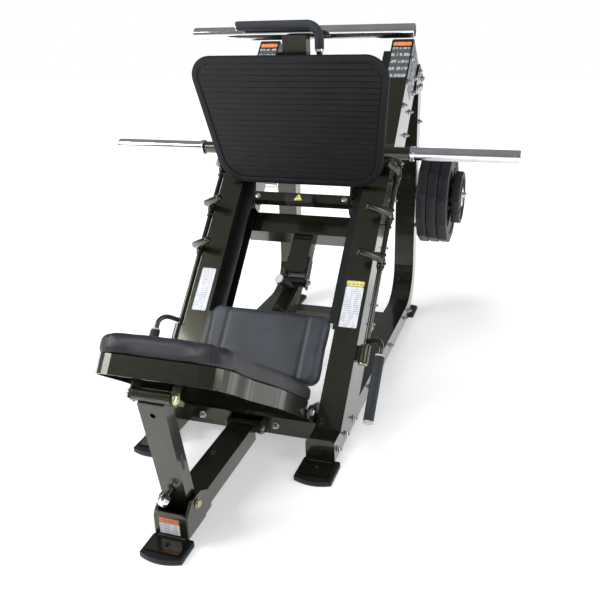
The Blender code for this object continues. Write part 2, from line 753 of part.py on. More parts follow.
def make_bench_ears(pivot):
    """A bridge under the tray's top with two ears that hold the front leg's bolt."""
    solids = []
    bridge_low, bridge_high = LEG_TOP_UP - 0.035, LEG_TOP_UP + 0.010
    corners = [(bridge_low, -0.0045), (bridge_high, -0.0045), (bridge_high, -0.050), (bridge_low, -0.050)]
    solids.append(prism([on_bench(-0.066, up, out) for up, out in corners], (0.132, 0, 0)))
    ear = [(bridge_low, -0.040), (bridge_high, -0.040)]
    ear += [(LEG_TOP_UP + 0.018, -0.110), (LEG_TOP_UP - 0.018, -0.118)]
    for sign in (-1, 1):
        low = sorted((sign * 0.060, sign * 0.066))[0]
        solids.append(prism([on_bench(low, up, out) for up, out in ear], (0.006, 0, 0)))
    axis = on_bench(0, LEG_TOP_UP, LEG_TOP_OUT)
    bore = rod((-0.1, axis.y, axis.z), (0.1, axis.y, axis.z), 0.0083, 16)
    fuse("leg_hinge_ears", solids, PAINT, pivot, cut=[bore])
    bolt = bolt_through(axis, 0.0665, 0.0080, 0.014, 0.009)
    add("leg_top_bolt", bolt, BRASS, pivot)


def bolt_through(centre, half, radius, head, head_high):
    """A bolt across X with a head at each end."""
    profile = [
        (0, 0),
        (0, head * 0.8),
        (head_high * 0.4, head),
        (head_high, head),
        (head_high, radius),
        (head_high + 2 * half, radius),
        (head_high + 2 * half, head),
        (1.6 * head_high + 2 * half, head),
        (2 * head_high + 2 * half, head * 0.8),
        (2 * head_high + 2 * half, 0),
    ]
    return turned((-half - head_high, centre[1], centre[2]), (1, 0, 0), profile, 16)


def make_front_leg():
    top = on_bench(0, LEG_TOP_UP, LEG_TOP_OUT)
    foot = Vector((0, *LEG_FOOT))
    way = (foot - top).normalized()
    start, end = top + way * 0.012, foot - way * 0.004
    tube = box_tube(0, [(start.y, start.z), (end.y, end.z)], 0.080, 0.046, WALL)
    barrel = rod((-0.0590, top.y, top.z), (0.0590, top.y, top.z), 0.0190)
    top_bore = rod((-0.1, top.y, top.z), (0.1, top.y, top.z), 0.0083, 16)
    foot_barrel = rod((-0.0400, foot.y, foot.z), (0.0400, foot.y, foot.z), 0.0220)
    foot_bore = rod((-0.1, foot.y, foot.z), (0.1, foot.y, foot.z), 0.0095, 16)
    front = way.cross(Vector((1, 0, 0))).normalized()
    hole_at = top + way * 0.050
    hole = rod(hole_at - front * 0.050, hole_at + front * 0.050, 0.0085, 12)
    fuse("front_leg", [tube, barrel, foot_barrel], PAINT, top, cut=[top_bore, foot_bore, hole])


FLOOR_TUBE_WIDTH = 0.094
FLOOR_TUBE_DEPTH = 0.062
FOOT_END_Y = HORN_Y - 1.288


def make_floor_tube():
    """The tube on the floor: a sleeve at its rear, a clevis and an upright foot plate at its front."""
    rear = Vector((0, *FLOOR_PIVOT))
    z = 0.066
    tube_start = rear.y - 0.020
    tube_end = HORN_Y - 1.190
    tube = box_tube(0, [(tube_start, z), (tube_end, z)], FLOOR_TUBE_WIDTH, FLOOR_TUBE_DEPTH, WALL)
    barrel = rod((-0.0590, rear.y, rear.z), (0.0590, rear.y, rear.z), 0.0220)
    web = block((-0.030, rear.y - 0.060, 0.050), (0.030, rear.y - 0.010, 0.090))
    rear_bore = rod((-0.1, rear.y, rear.z), (0.1, rear.y, rear.z), 0.0083, 16)
    solids = [tube, barrel, web]
    cheek = [(tube_end + 0.050, 0.034), (tube_end + 0.050, 0.098), (LEG_FOOT[0] + 0.026, 0.134)]
    cheek += [(LEG_FOOT[0] - 0.026, 0.134), (FOOT_END_Y - 0.002, 0.100), (FOOT_END_Y - 0.002, 0.034)]
    for sign in (-1, 1):
        low, high = sorted((sign * 0.0455, sign * 0.0550))
        solids.append(side_plate(cheek, low, high))
    upright, flange = foot_bracket(0, FOOT_END_Y, FOOT_END_Y - 0.072, 0.054)
    floor_plate = block((-0.050, FOOT_END_Y - 0.004, 0.0185), (0.050, tube_end + 0.020, 0.0395))
    solids += [upright, flange, floor_plate]
    pin = rod((-0.1, *LEG_FOOT), (0.1, *LEG_FOOT), 0.0083, 16)
    fuse("floor_tube", solids, PAINT, rear, cut=[rear_bore, pin])
    add("front_foot_pad", foot_pad(0, FRONT_END_Y, FOOT_END_Y + 0.006, 0.068), RUBBER, rear)
    bolt = bolt_through((0, *LEG_FOOT), 0.0560, 0.0080, 0.0135, 0.009)
    add("leg_foot_bolt", bolt, BRASS, rear)


def make_lock_pin():
    """A sprung pin with a faceted knob, standing out of the front face of the leg near its lower end."""
    foot = Vector((0, *LEG_FOOT))
    up = (on_bench(0, LEG_TOP_UP, LEG_TOP_OUT) - foot).normalized()
    way = up.cross(Vector((-1, 0, 0))).normalized()
    start = foot + Vector((-0.0160, 0, 0)) + up * 0.0530 + way * (0.023 + GAP)
    profile = [(0, 0), (0, 0.006), (0.016, 0.006), (0.018, 0.0145), (0.024, 0.0175), (0.040, 0.0175)]
    profile += [(0.046, 0.0130), (0.046, 0)]
    add("leg_lock_pin", turned(start, way, profile, 10), CHROME, start, smooth=20)


def make_floor_hinge():
    """Ears on the front cross member that hold the floor tube's sleeve, with its pin."""
    rear = Vector((0, *FLOOR_PIVOT))
    face_y = FRONT_CROSS[0] - 0.034 - GAP
    back = block((-0.080, face_y - 0.006, 0.040), (0.080, face_y, 0.106))
    ear = [(face_y - 0.003, 0.040), (face_y - 0.003, 0.106), (rear.y, 0.100)]
    ear += [(rear.y - 0.022, 0.086), (rear.y - 0.022, 0.062), (rear.y, 0.048)]
    solids = [back]
    for sign in (-1, 1):
        low, high = sorted((sign * 0.0600, sign * 0.0670))
        solids.append(side_plate(ear, low, high))
    bore = rod((-0.1, rear.y, rear.z), (0.1, rear.y, rear.z), 0.0083, 16)
    fuse("floor_hinge_ears", solids, PAINT, cut=[bore])
    add("floor_hinge_pin", bolt_through(rear, 0.0675, 0.0080, 0.0120, 0.007), ZINC)


def make_bench_brackets():
    """Uprights on the front cross member, beside the rails, that carry the bench's rear pivot."""
    pivot = on_bench(0, BENCH_PIVOT_UP, BENCH_PIVOT_OUT)
    top = FRONT_CROSS[1] + 0.035 + GAP
    front = FRONT_CROSS[0] - 0.034
    outline = [(front, top), (front + 0.068, top), (front + 0.060, pivot.z - 0.010)]
    outline += [(pivot.y + 0.012, pivot.z + 0.020), (pivot.y - 0.016, pivot.z + 0.020)]
    outline.append((pivot.y - 0.022, pivot.z - 0.012))
    for side, sign in SIDES:
        low, high = sorted((sign * 0.2445, sign * 0.2525))
        pin = rod((sign * 0.2300, pivot.y, pivot.z), (sign * 0.2480, pivot.y, pivot.z), 0.0080, 16)
        fuse(f"{side}_bench_bracket", [side_plate(outline, low, high), pin], PAINT)


def main():
    clear_scene()
    make_side_frames()
    make_guide_channels()
    make_cross_members()
    make_center_column()
    make_feet()
    make_storage()
    make_foot_plate()
    make_carriage_frame()
    make_rollers()
    make_horns()
    make_spine_and_bar()
    make_loading_handle()
    make_safety_shafts()
    make_shaft_housings()
    make_seat()
    make_bench()
    make_front_leg()
    make_floor_tube()
    make_lock_pin()
    make_floor_hinge()
    make_bench_brackets()


main()
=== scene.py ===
"""The leg press machine's finished look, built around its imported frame."""

from math import atan2, cos, exp, pi, radians, sin

import bmesh
import bpy
from mathutils import Matrix, Vector
from mathutils.bvhtree import BVHTree


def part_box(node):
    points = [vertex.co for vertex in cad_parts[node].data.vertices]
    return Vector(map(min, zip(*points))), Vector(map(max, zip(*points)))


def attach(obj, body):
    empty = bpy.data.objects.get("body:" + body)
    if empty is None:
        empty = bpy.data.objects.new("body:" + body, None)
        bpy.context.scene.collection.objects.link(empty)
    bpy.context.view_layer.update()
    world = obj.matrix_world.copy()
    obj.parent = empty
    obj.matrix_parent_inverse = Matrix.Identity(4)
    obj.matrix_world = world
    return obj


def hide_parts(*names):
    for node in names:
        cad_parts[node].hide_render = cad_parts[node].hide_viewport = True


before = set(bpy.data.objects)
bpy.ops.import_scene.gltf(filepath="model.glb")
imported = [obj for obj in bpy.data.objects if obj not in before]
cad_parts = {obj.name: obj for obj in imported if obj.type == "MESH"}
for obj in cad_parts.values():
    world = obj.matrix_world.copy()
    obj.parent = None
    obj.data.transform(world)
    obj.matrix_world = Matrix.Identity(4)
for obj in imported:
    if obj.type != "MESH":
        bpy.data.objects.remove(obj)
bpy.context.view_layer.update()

# The machine's own dimensions, in metres
RAIL_ANGLE = radians(46)
HORN_Y = 0.2575
HORN_Z = 0.93
RAIL_DROP = 0.0932
RAIL_X = 0.305
RAIL_WIDTH = 0.095
RAIL_DEPTH = 0.18
RAIL_TOP_T = 0.68
OUTER_X = RAIL_X + RAIL_WIDTH / 2
INNER_X = RAIL_X - RAIL_WIDTH / 2
POST_Y = HORN_Y + 0.65
GAP = 0.0004
SIDES = (("left", -1), ("right", 1))
RIGHT = (1, 0, 0)
UP = (0, 0, 1)
MAIN = "main_frame"


# Places on the machine
def on_rail(x, t, n):
    """A point by its distance up along the rail and out of the rail's top face."""
    y = HORN_Y + t * cos(RAIL_ANGLE) - n * sin(RAIL_ANGLE)
    z = HORN_Z - RAIL_DROP + t * sin(RAIL_ANGLE) + n * cos(RAIL_ANGLE)
    return Vector((x, y, z))


UP_RAIL = on_rail(0, 1, 0) - on_rail(0, 0, 0)
OUT_OF_RAIL = on_rail(0, 0, 1) - on_rail(0, 0, 0)

BENCH_LOW = (HORN_Y - 0.687, 0.178)
BENCH_ANGLE = radians(35.8)


def on_bench(x, up, out):
    y = BENCH_LOW[0] - up * cos(BENCH_ANGLE) + out * sin(BENCH_ANGLE)
    z = BENCH_LOW[1] + up * sin(BENCH_ANGLE) + out * cos(BENCH_ANGLE)
    return Vector((x, y, z))


FOOT_LEAN = radians(16)
FOOT_LOW = (HORN_Y - 0.051, HORN_Z - 0.13)
FOOT_LENGTH = 0.522
MAT_BORDER = 0.026


def on_foot_plate(x, up, out):
    y = FOOT_LOW[0] - up * sin(FOOT_LEAN) - out * cos(FOOT_LEAN)
    z = FOOT_LOW[1] + up * cos(FOOT_LEAN) - out * sin(FOOT_LEAN)
    return Vector((x, y, z))


# Materials
def start_material(name, base, rough, metallic=0.0, **sockets):
    made = bpy.data.materials.new(name)
    made.use_nodes = True
    tree = made.node_tree
    shader = tree.nodes["Principled BSDF"]
    sockets |= {"Base Color": (*base, 1), "Roughness": rough, "Metallic": metallic}
    for socket, value in sockets.items():
        shader.inputs[socket.replace("_", " ")].default_value = value
    return made, tree, shader


def feed(node, socket, source):
    node.id_data.links.new(source, node.inputs[socket])


def pattern(tree, kind, scale, stretch=(1, 1, 1), output="Fac", **settings):
    """The output of a procedural texture in the piece's own coordinates."""
    spot = tree.nodes.new("ShaderNodeTexCoord")
    mapping = tree.nodes.new("ShaderNodeMapping")
    mapping.inputs["Scale"].default_value = stretch
    feed(mapping, "Vector", spot.outputs["Object"])
    node = tree.nodes.new("ShaderNodeTex" + kind)
    feed(node, "Vector", mapping.outputs["Vector"])
    settings["Scale"] = scale
    for socket, value in settings.items():
        node.inputs[socket].default_value = value
    return node.outputs[output]


def ramp(tree, source, stops):
    node = tree.nodes.new("ShaderNodeValToRGB")
    feed(node, "Fac", source)
    while len(node.color_ramp.elements) < len(stops):
        node.color_ramp.elements.new(0.5)
    for element, (spot, color) in zip(node.color_ramp.elements, stops):
        element.position = spot
        element.color = (*color, 1)
    return node.outputs["Color"]


def blend(tree, factor, first, second, mode="MIX"):
    node = tree.nodes.new("ShaderNodeMix")
    node.data_type = "RGBA"
    node.blend_type = mode
    node.inputs["Factor"].default_value = factor
    feed(node, "A", first)
    feed(node, "B", second)
    return node.outputs["Result"]


def remap(tree, source, low, high, start=0.0, end=1.0):
    """Stretches the values from start to end so that they run from low to high."""
    node = tree.nodes.new("ShaderNodeMapRange")
    feed(node, "Value", source)
    limits = {"From Min": start, "From Max": end, "To Min": low, "To Max": high}
    for socket, value in limits.items():
        node.inputs[socket].default_value = value
    return node.outputs["Result"]


def bump(tree, shader, height, strength, depth, before=None):
    node = tree.nodes.new("ShaderNodeBump")
    node.inputs["Strength"].default_value = strength
    node.inputs["Distance"].default_value = depth
    feed(node, "Height", height)
    if before:
        feed(node, "Normal", before)
    feed(shader, "Normal", node.outputs["Normal"])
    return node.outputs["Normal"]


def metal_paint(name, dark, light, rough):
    """Glossy powder coat with fine metal flakes under a clear layer."""
    coat = {"Coat_Weight": 0.85, "Coat_Roughness": 0.07}
    made, tree, shader = start_material(name, dark, rough, 0.78, **coat)
    flakes = pattern(tree, "Voronoi", 1300, output="Color")
    clouds = pattern(tree, "Noise", 5, Detail=3)
    middle = tuple((a * 3 + b) / 4 for a, b in zip(dark, light))
    glitter = ramp(tree, flakes, ((0.25, dark), (0.62, middle), (0.9, light)))
    tone = ramp(tree, clouds, ((0.35, (0.92, 0.92, 0.9)), (0.7, (1.05, 1.05, 1.0))))
    feed(shader, "Base Color", blend(tree, 1.0, glitter, tone, "MULTIPLY"))
    feed(shader, "Roughness", remap(tree, clouds, rough - 0.03, rough + 0.04))
    bump(tree, shader, pattern(tree, "Noise", 240, Detail=2), 0.05, 0.0006)
    return made


def plain_metal(name, color, rough, scratch=0.05):
    """Bare or plated metal with faint handling marks."""
    made, tree, shader = start_material(name, color, rough, 1.0)
    marks = pattern(tree, "Noise", 90, Detail=6, Roughness=0.7)
    clouds = pattern(tree, "Noise", 14, Detail=3)
    darker = tuple(c * 0.86 for c in color)
    feed(shader, "Base Color", ramp(tree, clouds, ((0.35, darker), (0.65, color))))
    feed(shader, "Roughness", remap(tree, marks, rough * 0.7, rough * 1.5))
    bump(tree, shader, marks, scratch, 0.0003)
    return made


def soft_black(name, color, light, rough, grain, depth, sheen=0.0, shine=0.5):
    """Rubber, foam or satin plastic with a fine grain."""
    gloss = {"Sheen_Weight": sheen, "Specular_IOR_Level": shine}
    made, tree, shader = start_material(name, color, rough, **gloss)
    fine = pattern(tree, "Noise", grain, Detail=5, Roughness=0.65)
    clouds = pattern(tree, "Noise", 11, Detail=4)
    mixed = blend(tree, 0.5, fine, clouds)
    feed(shader, "Base Color", ramp(tree, mixed, ((0.35, color), (0.68, light))))
    feed(shader, "Roughness", remap(tree, clouds, rough - 0.08, rough + 0.08))
    bump(tree, shader, fine, 0.5, depth)
    return made


def leather(name, dark, light):
    """Fine-grained synthetic leather with a light worn bloom."""
    made, tree, shader = start_material(name, dark, 0.46, Coat_Weight=0.12, Coat_Roughness=0.35)
    cells = pattern(tree, "Voronoi", 620, output="Distance")
    cells.node.feature = "DISTANCE_TO_EDGE"
    fine = pattern(tree, "Noise", 420, Detail=4, Roughness=0.7)
    clouds = pattern(tree, "Noise", 9, Detail=4)
    mixed = blend(tree, 0.55, fine, clouds)
    feed(shader, "Base Color", ramp(tree, mixed, ((0.36, dark), (0.66, light))))
    feed(shader, "Roughness", remap(tree, clouds, 0.38, 0.56))
    first = bump(tree, shader, cells, 0.35, 0.0006)
    bump(tree, shader, fine, 0.35, 0.0003, first)
    return made


def printed(name, ground, ink, rows, amount):
    """A printed sticker: rows of broken dashes, with nothing to read."""
    made, tree, shader = start_material(name, ground, 0.42, Coat_Weight=0.3, Coat_Roughness=0.2)
    lines = pattern(tree, "Wave", rows)
    lines.node.bands_direction = "Z"
    dashes = pattern(tree, "Noise", 130, (1, 0.2, 0.2), Detail=2)
    row = ramp(tree, lines, ((0.55, (0, 0, 0)), (0.68, (amount,) * 3)))
    gap = ramp(tree, dashes, ((0.44, (0, 0, 0)), (0.5, (1, 1, 1))))
    mask = blend(tree, 1.0, row, gap, "MULTIPLY")
    feed(shader, "Base Color", ramp(tree, mask, ((0.0, ground), (1.0, ink))))
    bump(tree, shader, pattern(tree, "Noise", 300, Detail=3), 0.1, 0.0002)
    return made


PAINT = metal_paint("paint", (0.0085, 0.009, 0.0058), (0.125, 0.122, 0.08), 0.24)
SATIN = soft_black("satin_black", (0.004, 0.004, 0.0045), (0.011, 0.011, 0.012), 0.36, 500, 0.0003)
CHROME = plain_metal("chrome", (0.86, 0.87, 0.89), 0.07, 0.02)
ZINC = plain_metal("zinc", (0.66, 0.67, 0.68), 0.26, 0.15)
GOLD_ZINC = plain_metal("yellow_zinc", (0.74, 0.66, 0.44), 0.26, 0.15)
RUBBER = soft_black("rubber", (0.0055, 0.0065, 0.0085), (0.014, 0.0165, 0.02), 0.5, 700, 0.0006)
MAT_RUBBER = soft_black(
    "mat_rubber", (0.003, 0.0036, 0.0048), (0.008, 0.0092, 0.0112), 0.46, 600, 0.0005, shine=0.28
)
FOAM = soft_black("foam", (0.01, 0.0125, 0.016), (0.024, 0.029, 0.036), 0.66, 900, 0.001, 0.1)
SEAT_LEATHER = leather("seat_leather", (0.012, 0.015, 0.02), (0.046, 0.056, 0.07))
SIDE_LEATHER = leather("bench_leather", (0.008, 0.0085, 0.0115), (0.024, 0.025, 0.032))
THREAD = soft_black("thread", (0.05, 0.012, 0.018), (0.12, 0.03, 0.042), 0.6, 1500, 0.0005, 0.3)
NYLON = soft_black("roller_nylon", (0.16, 0.165, 0.17), (0.24, 0.245, 0.25), 0.38, 400, 0.0003)
PALE_PLASTIC = soft_black("pale_plastic", (0.46, 0.47, 0.48), (0.6, 0.61, 0.62), 0.4, 300, 0.0003)
LABEL = printed("label", (0.72, 0.74, 0.78), (0.28, 0.29, 0.33), 55, 0.75)
YELLOW = printed("label_yellow", (0.76, 0.68, 0.18), (0.08, 0.08, 0.06), 30, 0.6)
ORANGE = printed("label_orange", (0.72, 0.2, 0.06), (0.16, 0.04, 0.02), 35, 0.5)
DARK_LABEL = printed("label_dark", (0.06, 0.065, 0.07), (0.42, 0.44, 0.46), 12, 0.8)
SILVER_LABEL = printed("label_silver", (0.2, 0.21, 0.23), (0.015, 0.015, 0.018), 9, 0.7)


# Making pieces
def piece(name, bm, look, body, nodes=(), bevel=0.0, steps=2, sharp=35):
    """Finishes a mesh as one piece that rides on a body and may stand for CAD nodes."""
    bmesh.ops.recalc_face_normals(bm, faces=bm.faces)
    obj = mesh_object(name, bm, look)
    obj.data.shade_smooth()
    obj.data.set_sharp_from_angle(angle=radians(sharp))
    if bevel:
        soften(obj, bevel, steps)
    place(obj, body, nodes)
    return obj


def mesh_object(name, bm, look):
    mesh = bpy.data.meshes.new(name)
    bm.to_mesh(mesh)
    bm.free()
    mesh.materials.append(look)
    obj = bpy.data.objects.new(name, mesh)
    bpy.context.scene.collection.objects.link(obj)
    return obj


def place(obj, body, nodes=()):
    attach(obj, body)
    if nodes:
        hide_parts(*nodes)


def turned(name, start, direction, profile, look, body, nodes=(), segments=48, closed=False):
    """A piece that is one turned shape."""
    bm = bmesh.new()
    lathe(bm, start, direction, profile, segments, closed)
    piece(name, bm, look, body, nodes)


def soften(obj, width, steps=2):
    """Rounds an object's sharp edges, so that they catch the light."""
    edge = obj.modifiers.new("edge", "BEVEL")
    edge.width = width
    edge.segments = steps
    edge.limit_method = "ANGLE"
    edge.angle_limit = radians(35)
    edge.harden_normals = True


def ring(bm, centre, aside, other, radius, segments):
    angles = [2 * pi * step / segments for step in range(segments)]
    return [bm.verts.new(centre + radius * (aside * cos(a) + other * sin(a))) for a in angles]


def join_rings(bm, first, second):
    count = len(first)
    for step in range(count):
        after = (step + 1) % count
        bm.faces.new([first[step], first[after], second[after], second[step]])


def skin(bm, rings, closed=False):
    """Joins a row of rings, then caps both ends, or joins the last ring to the first."""
    for first, second in zip(rings, rings[1:]):
        join_rings(bm, first, second)
    if closed:
        join_rings(bm, rings[-1], rings[0])
    else:
        bm.faces.new(rings[0])
        bm.faces.new(rings[-1])


def lathe(bm, start, direction, profile, segments=48, closed=False):
    """Turns (distance along, radius) pairs round an axis, with flat ends if it isn't closed."""
    axis = Vector(direction).normalized()
    aside = axis.orthogonal().normalized()
    other = axis.cross(aside)
    rings = [ring(bm, Vector(start) + axis * a, aside, other, r, segments) for a, r in profile]
    skin(bm, rings, closed)


def both_ends(profile, length):
    """Repeats the profile of one end, turned round, at the other end."""
    return profile + [(length - along, radius) for along, radius in reversed(profile)]


def round_profile(length, radius, edge, steps=4):
    """The profile of a rod whose ends are rounded over."""
    ends = []
    for step in range(steps + 1):
        angle = pi / 2 * step / steps
        ends.append((edge - edge * cos(angle), radius - edge + edge * sin(angle)))
    return both_ends(ends, length)


def rod(bm, start, end, radius, edge=0.001, segments=40):
    way = Vector(end) - Vector(start)
    lathe(bm, start, way, round_profile(way.length, radius, edge), segments)


def tube(bm, points, radius, bore=0.0, segments=28):
    """A round bar along a path of points, or a pipe if it has a bore."""
    points = [Vector(point) for point in points]
    normal = None
    outer, inner = [], []
    for index, point in enumerate(points):
        before, after = points[max(index - 1, 0)], points[min(index + 1, len(points) - 1)]
        tangent = (after - before).normalized()
        normal = normal or tangent.orthogonal().normalized()
        normal = (normal - tangent * normal.dot(tangent)).normalized()
        other = tangent.cross(normal)
        outer.append(ring(bm, point, normal, other, radius, segments))
        if bore:
            inner.append(ring(bm, point, normal, other, bore, segments))
    skin(bm, outer + inner[::-1], closed=bool(bore))


def slab(bm, outline, offset):
    """A plate from a closed 3-D outline and its thickness as a vector."""
    low = [bm.verts.new(point) for point in outline]
    high = [bm.verts.new(Vector(point) + Vector(offset)) for point in outline]
    skin(bm, [low, high])


def rounded(corners, radii, steps=8):
    """A closed 2-D outline with its corners as arcs."""
    outline = []
    for index, (corner, radius) in enumerate(zip(corners, radii)):
        here = Vector(corner)
        back = (Vector(corners[index - 1]) - here).normalized()
        ahead = (Vector(corners[(index + 1) % len(corners)]) - here).normalized()
        half = back.angle(ahead) / 2
        centre = here + (back + ahead).normalized() * radius / sin(half)
        cut = radius * cos(half) / sin(half)
        first = here + back * cut - centre
        last = here + ahead * cut - centre
        start = atan2(first.y, first.x)
        turn = (atan2(last.y, last.x) - start + pi) % (2 * pi) - pi
        for step in range(steps + 1):
            angle = start + turn * step / steps
            outline.append((centre.x + radius * cos(angle), centre.y + radius * sin(angle)))
    return outline


def box_outline(half_width, half_height, radius, steps=6):
    corners = [(-half_width, -half_height), (half_width, -half_height)]
    corners += [(half_width, half_height), (-half_width, half_height)]
    return rounded(corners, [radius] * 4, steps)


def arc(centre, radius, start, end, steps):
    angles = [radians(start + (end - start) * step / steps) for step in range(steps + 1)]
    return [(centre[0] + radius * cos(a), centre[1] + radius * sin(a)) for a in angles]


def bolt(bm, spot, direction, size, washer=True):
    """A hexagon head with its chamfer, on a washer."""
    way = Vector(direction).normalized()
    spot = Vector(spot)
    lift = 0.0
    if washer:
        lathe(bm, spot, way, round_profile(size * 0.28, size * 1.35, size * 0.1, 2), 28)
        lift = size * 0.28
    head = [(0, size * 0.98), (size * 0.62, size * 0.98), (size * 0.8, size * 0.8)]
    lathe(bm, spot + way * (lift + 0.00005), way, head, 6)


def nut_end(bm, spot, direction, size):
    """A nut with the end of its screw standing out of it."""
    way = Vector(direction).normalized()
    spot = Vector(spot)
    bolt(bm, spot, way, size)
    stud = round_profile(size * 0.8, size * 0.5, size * 0.12, 2)
    lathe(bm, spot + way * size * 1.1, way, stud, 20)


def bolts(name, spots, direction, size, look, body=MAIN):
    """One piece of equal bolts that point the same way."""
    bm = bmesh.new()
    for spot in spots:
        bolt(bm, spot, direction, size)
    piece(name, bm, look, body, sharp=25)


def bolt_pair(name, x, y, z, size):
    """A bolt's head on each side of the fixed frame's centre."""
    bm = bmesh.new()
    for _, sign in SIDES:
        bolt(bm, (sign * x, y, z), (sign, 0, 0), size)
    piece(name, bm, ZINC, MAIN, sharp=25)


def weld(bm, points, size=0.0032, pitch=0.0034):
    """A row of overlapping weld ripples from one point to another."""
    start, end = (Vector(point) for point in points)
    way = end - start
    shape = way.to_track_quat("Z", "Y").to_matrix().to_4x4()
    shape @= Matrix.Diagonal((size, size, size * 0.8, 1))
    count = max(2, int(way.length / pitch))
    for step in range(count):
        centre = start.lerp(end, (step + 0.5) / count)
        ball = Matrix.Translation(centre) @ shape
        bmesh.ops.create_uvsphere(bm, u_segments=8, v_segments=5, radius=1, matrix=ball)


# Carried-over CAD nodes: their shapes stay, with softened edges and a better finish
def dress_frame():
    painted = ["mid_cross_beam", "front_cross_member", "rear_cross_member", "floor_cross_member"]
    painted += ["center_column", "seat_arm", "floor_hinge_ears", "foot_plate", "carriage_frame"]
    painted += ["bench_tray", "leg_hinge_ears", "front_leg", "floor_tube", "carriage_spine"]
    paired = ("rail", "base_post", "front_foot", "shaft_housing", "bench_bracket")
    painted += [f"{side}_{part}" for side, _ in SIDES for part in paired]
    for name in painted:
        dress(name, PAINT, 0.0022, 3)
    for name in ("left_guide_channel", "right_guide_channel", "seat_plate"):
        dress(name, SATIN, 0.0008, 2)


def dress(name, look, edge, steps):
    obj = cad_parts[name]
    materials = obj.data.materials
    for index in range(len(materials)):
        materials[index] = look
    if not materials:
        materials.append(look)
    soften(obj, edge, steps)


# The fixed frame
def end_cap(bm, centre, normal, half_width, half_height):
    """A moulded plug that closes a tube's end, with a raised panel on it."""
    normal, across = Vector(normal).normalized(), Vector(RIGHT)
    along = normal.cross(across)
    proud = 0.004
    for inset, radius, base, high in ((0, 0.006, GAP, proud), (0.012, 0.004, proud + GAP, 0.0012)):
        face = box_outline(half_width - inset, half_height - inset, radius)
        points = [Vector(centre) + across * x + along * y + normal * base for x, y in face]
        slab(bm, points, normal * high)


def make_end_caps():
    bm = bmesh.new()
    for _, sign in SIDES:
        x = sign * RAIL_X
        top = on_rail(x, RAIL_TOP_T, -RAIL_DEPTH / 2)
        end_cap(bm, top, UP_RAIL, RAIL_WIDTH / 2, RAIL_DEPTH / 2)
        end_cap(bm, (x, POST_Y, 1.168), (0, 1, 1), RAIL_WIDTH / 2, 0.053)
    end_cap(bm, on_rail(0, -0.3702, -0.182), -UP_RAIL, 0.0385, 0.028)
    piece("tube_end_caps", bm, SATIN, MAIN, bevel=0.0008)


def make_gussets():
    """Plates outside each side frame that bolt the post to the rail."""
    corners = [(0.5, 1.095), (0.687, 1.095), (0.687, 1.165), (0.6, 1.222), (0.548, 1.18)]
    outline = rounded([(HORN_Y + y, z) for y, z in corners], [0.01] * 5)
    plates, fasteners = bmesh.new(), bmesh.new()
    for _, sign in SIDES:
        x = sign * (OUTER_X + GAP)
        slab(plates, [(x, y, z) for y, z in outline], (sign * 0.006, 0, 0))
        for y, z in ((0.555, 1.12), (0.6, 1.185), (0.632, 1.12), (0.665, 1.15)):
            bolt(fasteners, (x + sign * 0.0062, HORN_Y + y, z), (sign, 0, 0), 0.01)
    piece("post_gussets", plates, PAINT, MAIN, bevel=0.001)
    piece("gusset_bolts", fasteners, ZINC, MAIN, sharp=25)


LOWER_BOLTS = (-0.57, -0.49, -0.24, -0.02, 0.16, 0.3, 0.42, 0.52, 0.6)
BASE_BOLTS = (-0.76, -0.66, -0.55, -0.3, 0.1, 0.42, 0.52)


def make_rail_bolts():
    """Zinc bolts and screw ends on the rails, the posts, the base tubes and the beams."""
    bm = bmesh.new()
    for _, sign in SIDES:
        out = (sign, 0, 0)
        x = sign * (OUTER_X + GAP)
        outside = [on_rail(x, t, -0.15) for t in LOWER_BOLTS]
        outside += [on_rail(x, t, -0.025) for t in (0.36, 0.48, 0.6)]
        outside += [(x, HORN_Y + y, 0.055) for y in BASE_BOLTS]
        outside += [(x, POST_Y, z) for z in (0.46, 0.8, 0.96)]
        for spot in outside:
            nut_end(bm, spot, out, 0.0092)
        for t in (-0.2, -0.14):
            nut_end(bm, on_rail(sign * 0.215, t, -0.2155), -OUT_OF_RAIL, 0.007)
        for t in (-0.3, -0.4):
            bolt(bm, on_rail(sign * (INNER_X - 0.005), t, -0.15), (-sign, 0, 0), 0.007)
    for x in (-0.185, 0.105):
        nut_end(bm, (x, HORN_Y - 0.7015, 0.072), (0, -1, 0), 0.01)
    for x in (-0.16, 0.16):
        for t in (-0.195, -0.145):
            bolt(bm, on_rail(x, t, -0.2153), -OUT_OF_RAIL, 0.008)
    for x in (-0.235, 0.235):
        for z in (0.86, 0.9):
            bolt(bm, (x, POST_Y - 0.0255, z), (0, -1, 0), 0.008)
    piece("frame_bolts", bm, ZINC, MAIN, sharp=25)


FLANGE_TOP = 0.0257


def make_feet():
    """Rubber pads with a softened bowed front, and bolts through the flanges."""
    for side, _ in SIDES:
        for end in ("front", "rear"):
            make_pad(f"{side}_{end}_foot_pad", MAIN)
    make_pad("front_foot_pad", "bench_base")
    spots = [(x, HORN_Y - 0.846, FLANGE_TOP) for x in (-RAIL_X, RAIL_X)]
    bolts("front_foot_bolts", spots, UP, 0.0065, SATIN)
    bolts("bench_foot_bolt", [(0, HORN_Y - 1.327, FLANGE_TOP)], UP, 0.0065, SATIN, "bench_base")


def make_pad(node, body):
    low, high = (Vector(corner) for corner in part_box(node))
    way = 1 if low.y > 0 else -1
    front, back = (high.y, low.y) if way > 0 else (low.y, high.y)
    half = (high.x - low.x) / 2
    x = (high.x + low.x) / 2
    chamfer = 0.006
    outline = [(x + half, back + way * chamfer), (x + half * 0.93, back)]
    outline += [(x - half * 0.93, back), (x - half, back + way * chamfer)]
    bow = 0.016
    for step in range(17):
        across = step / 8 - 1
        outline.append((x + across * half, front - way * bow * across * across))
    bm = bmesh.new()
    for height, thick in ((0.0, 0.0112), (0.0118, 0.006)):
        slab(bm, [(px, py, height) for px, py in outline], (0, 0, thick))
    piece(f"{node}_rubber", bm, RUBBER, body, [node], bevel=0.0022, steps=3)


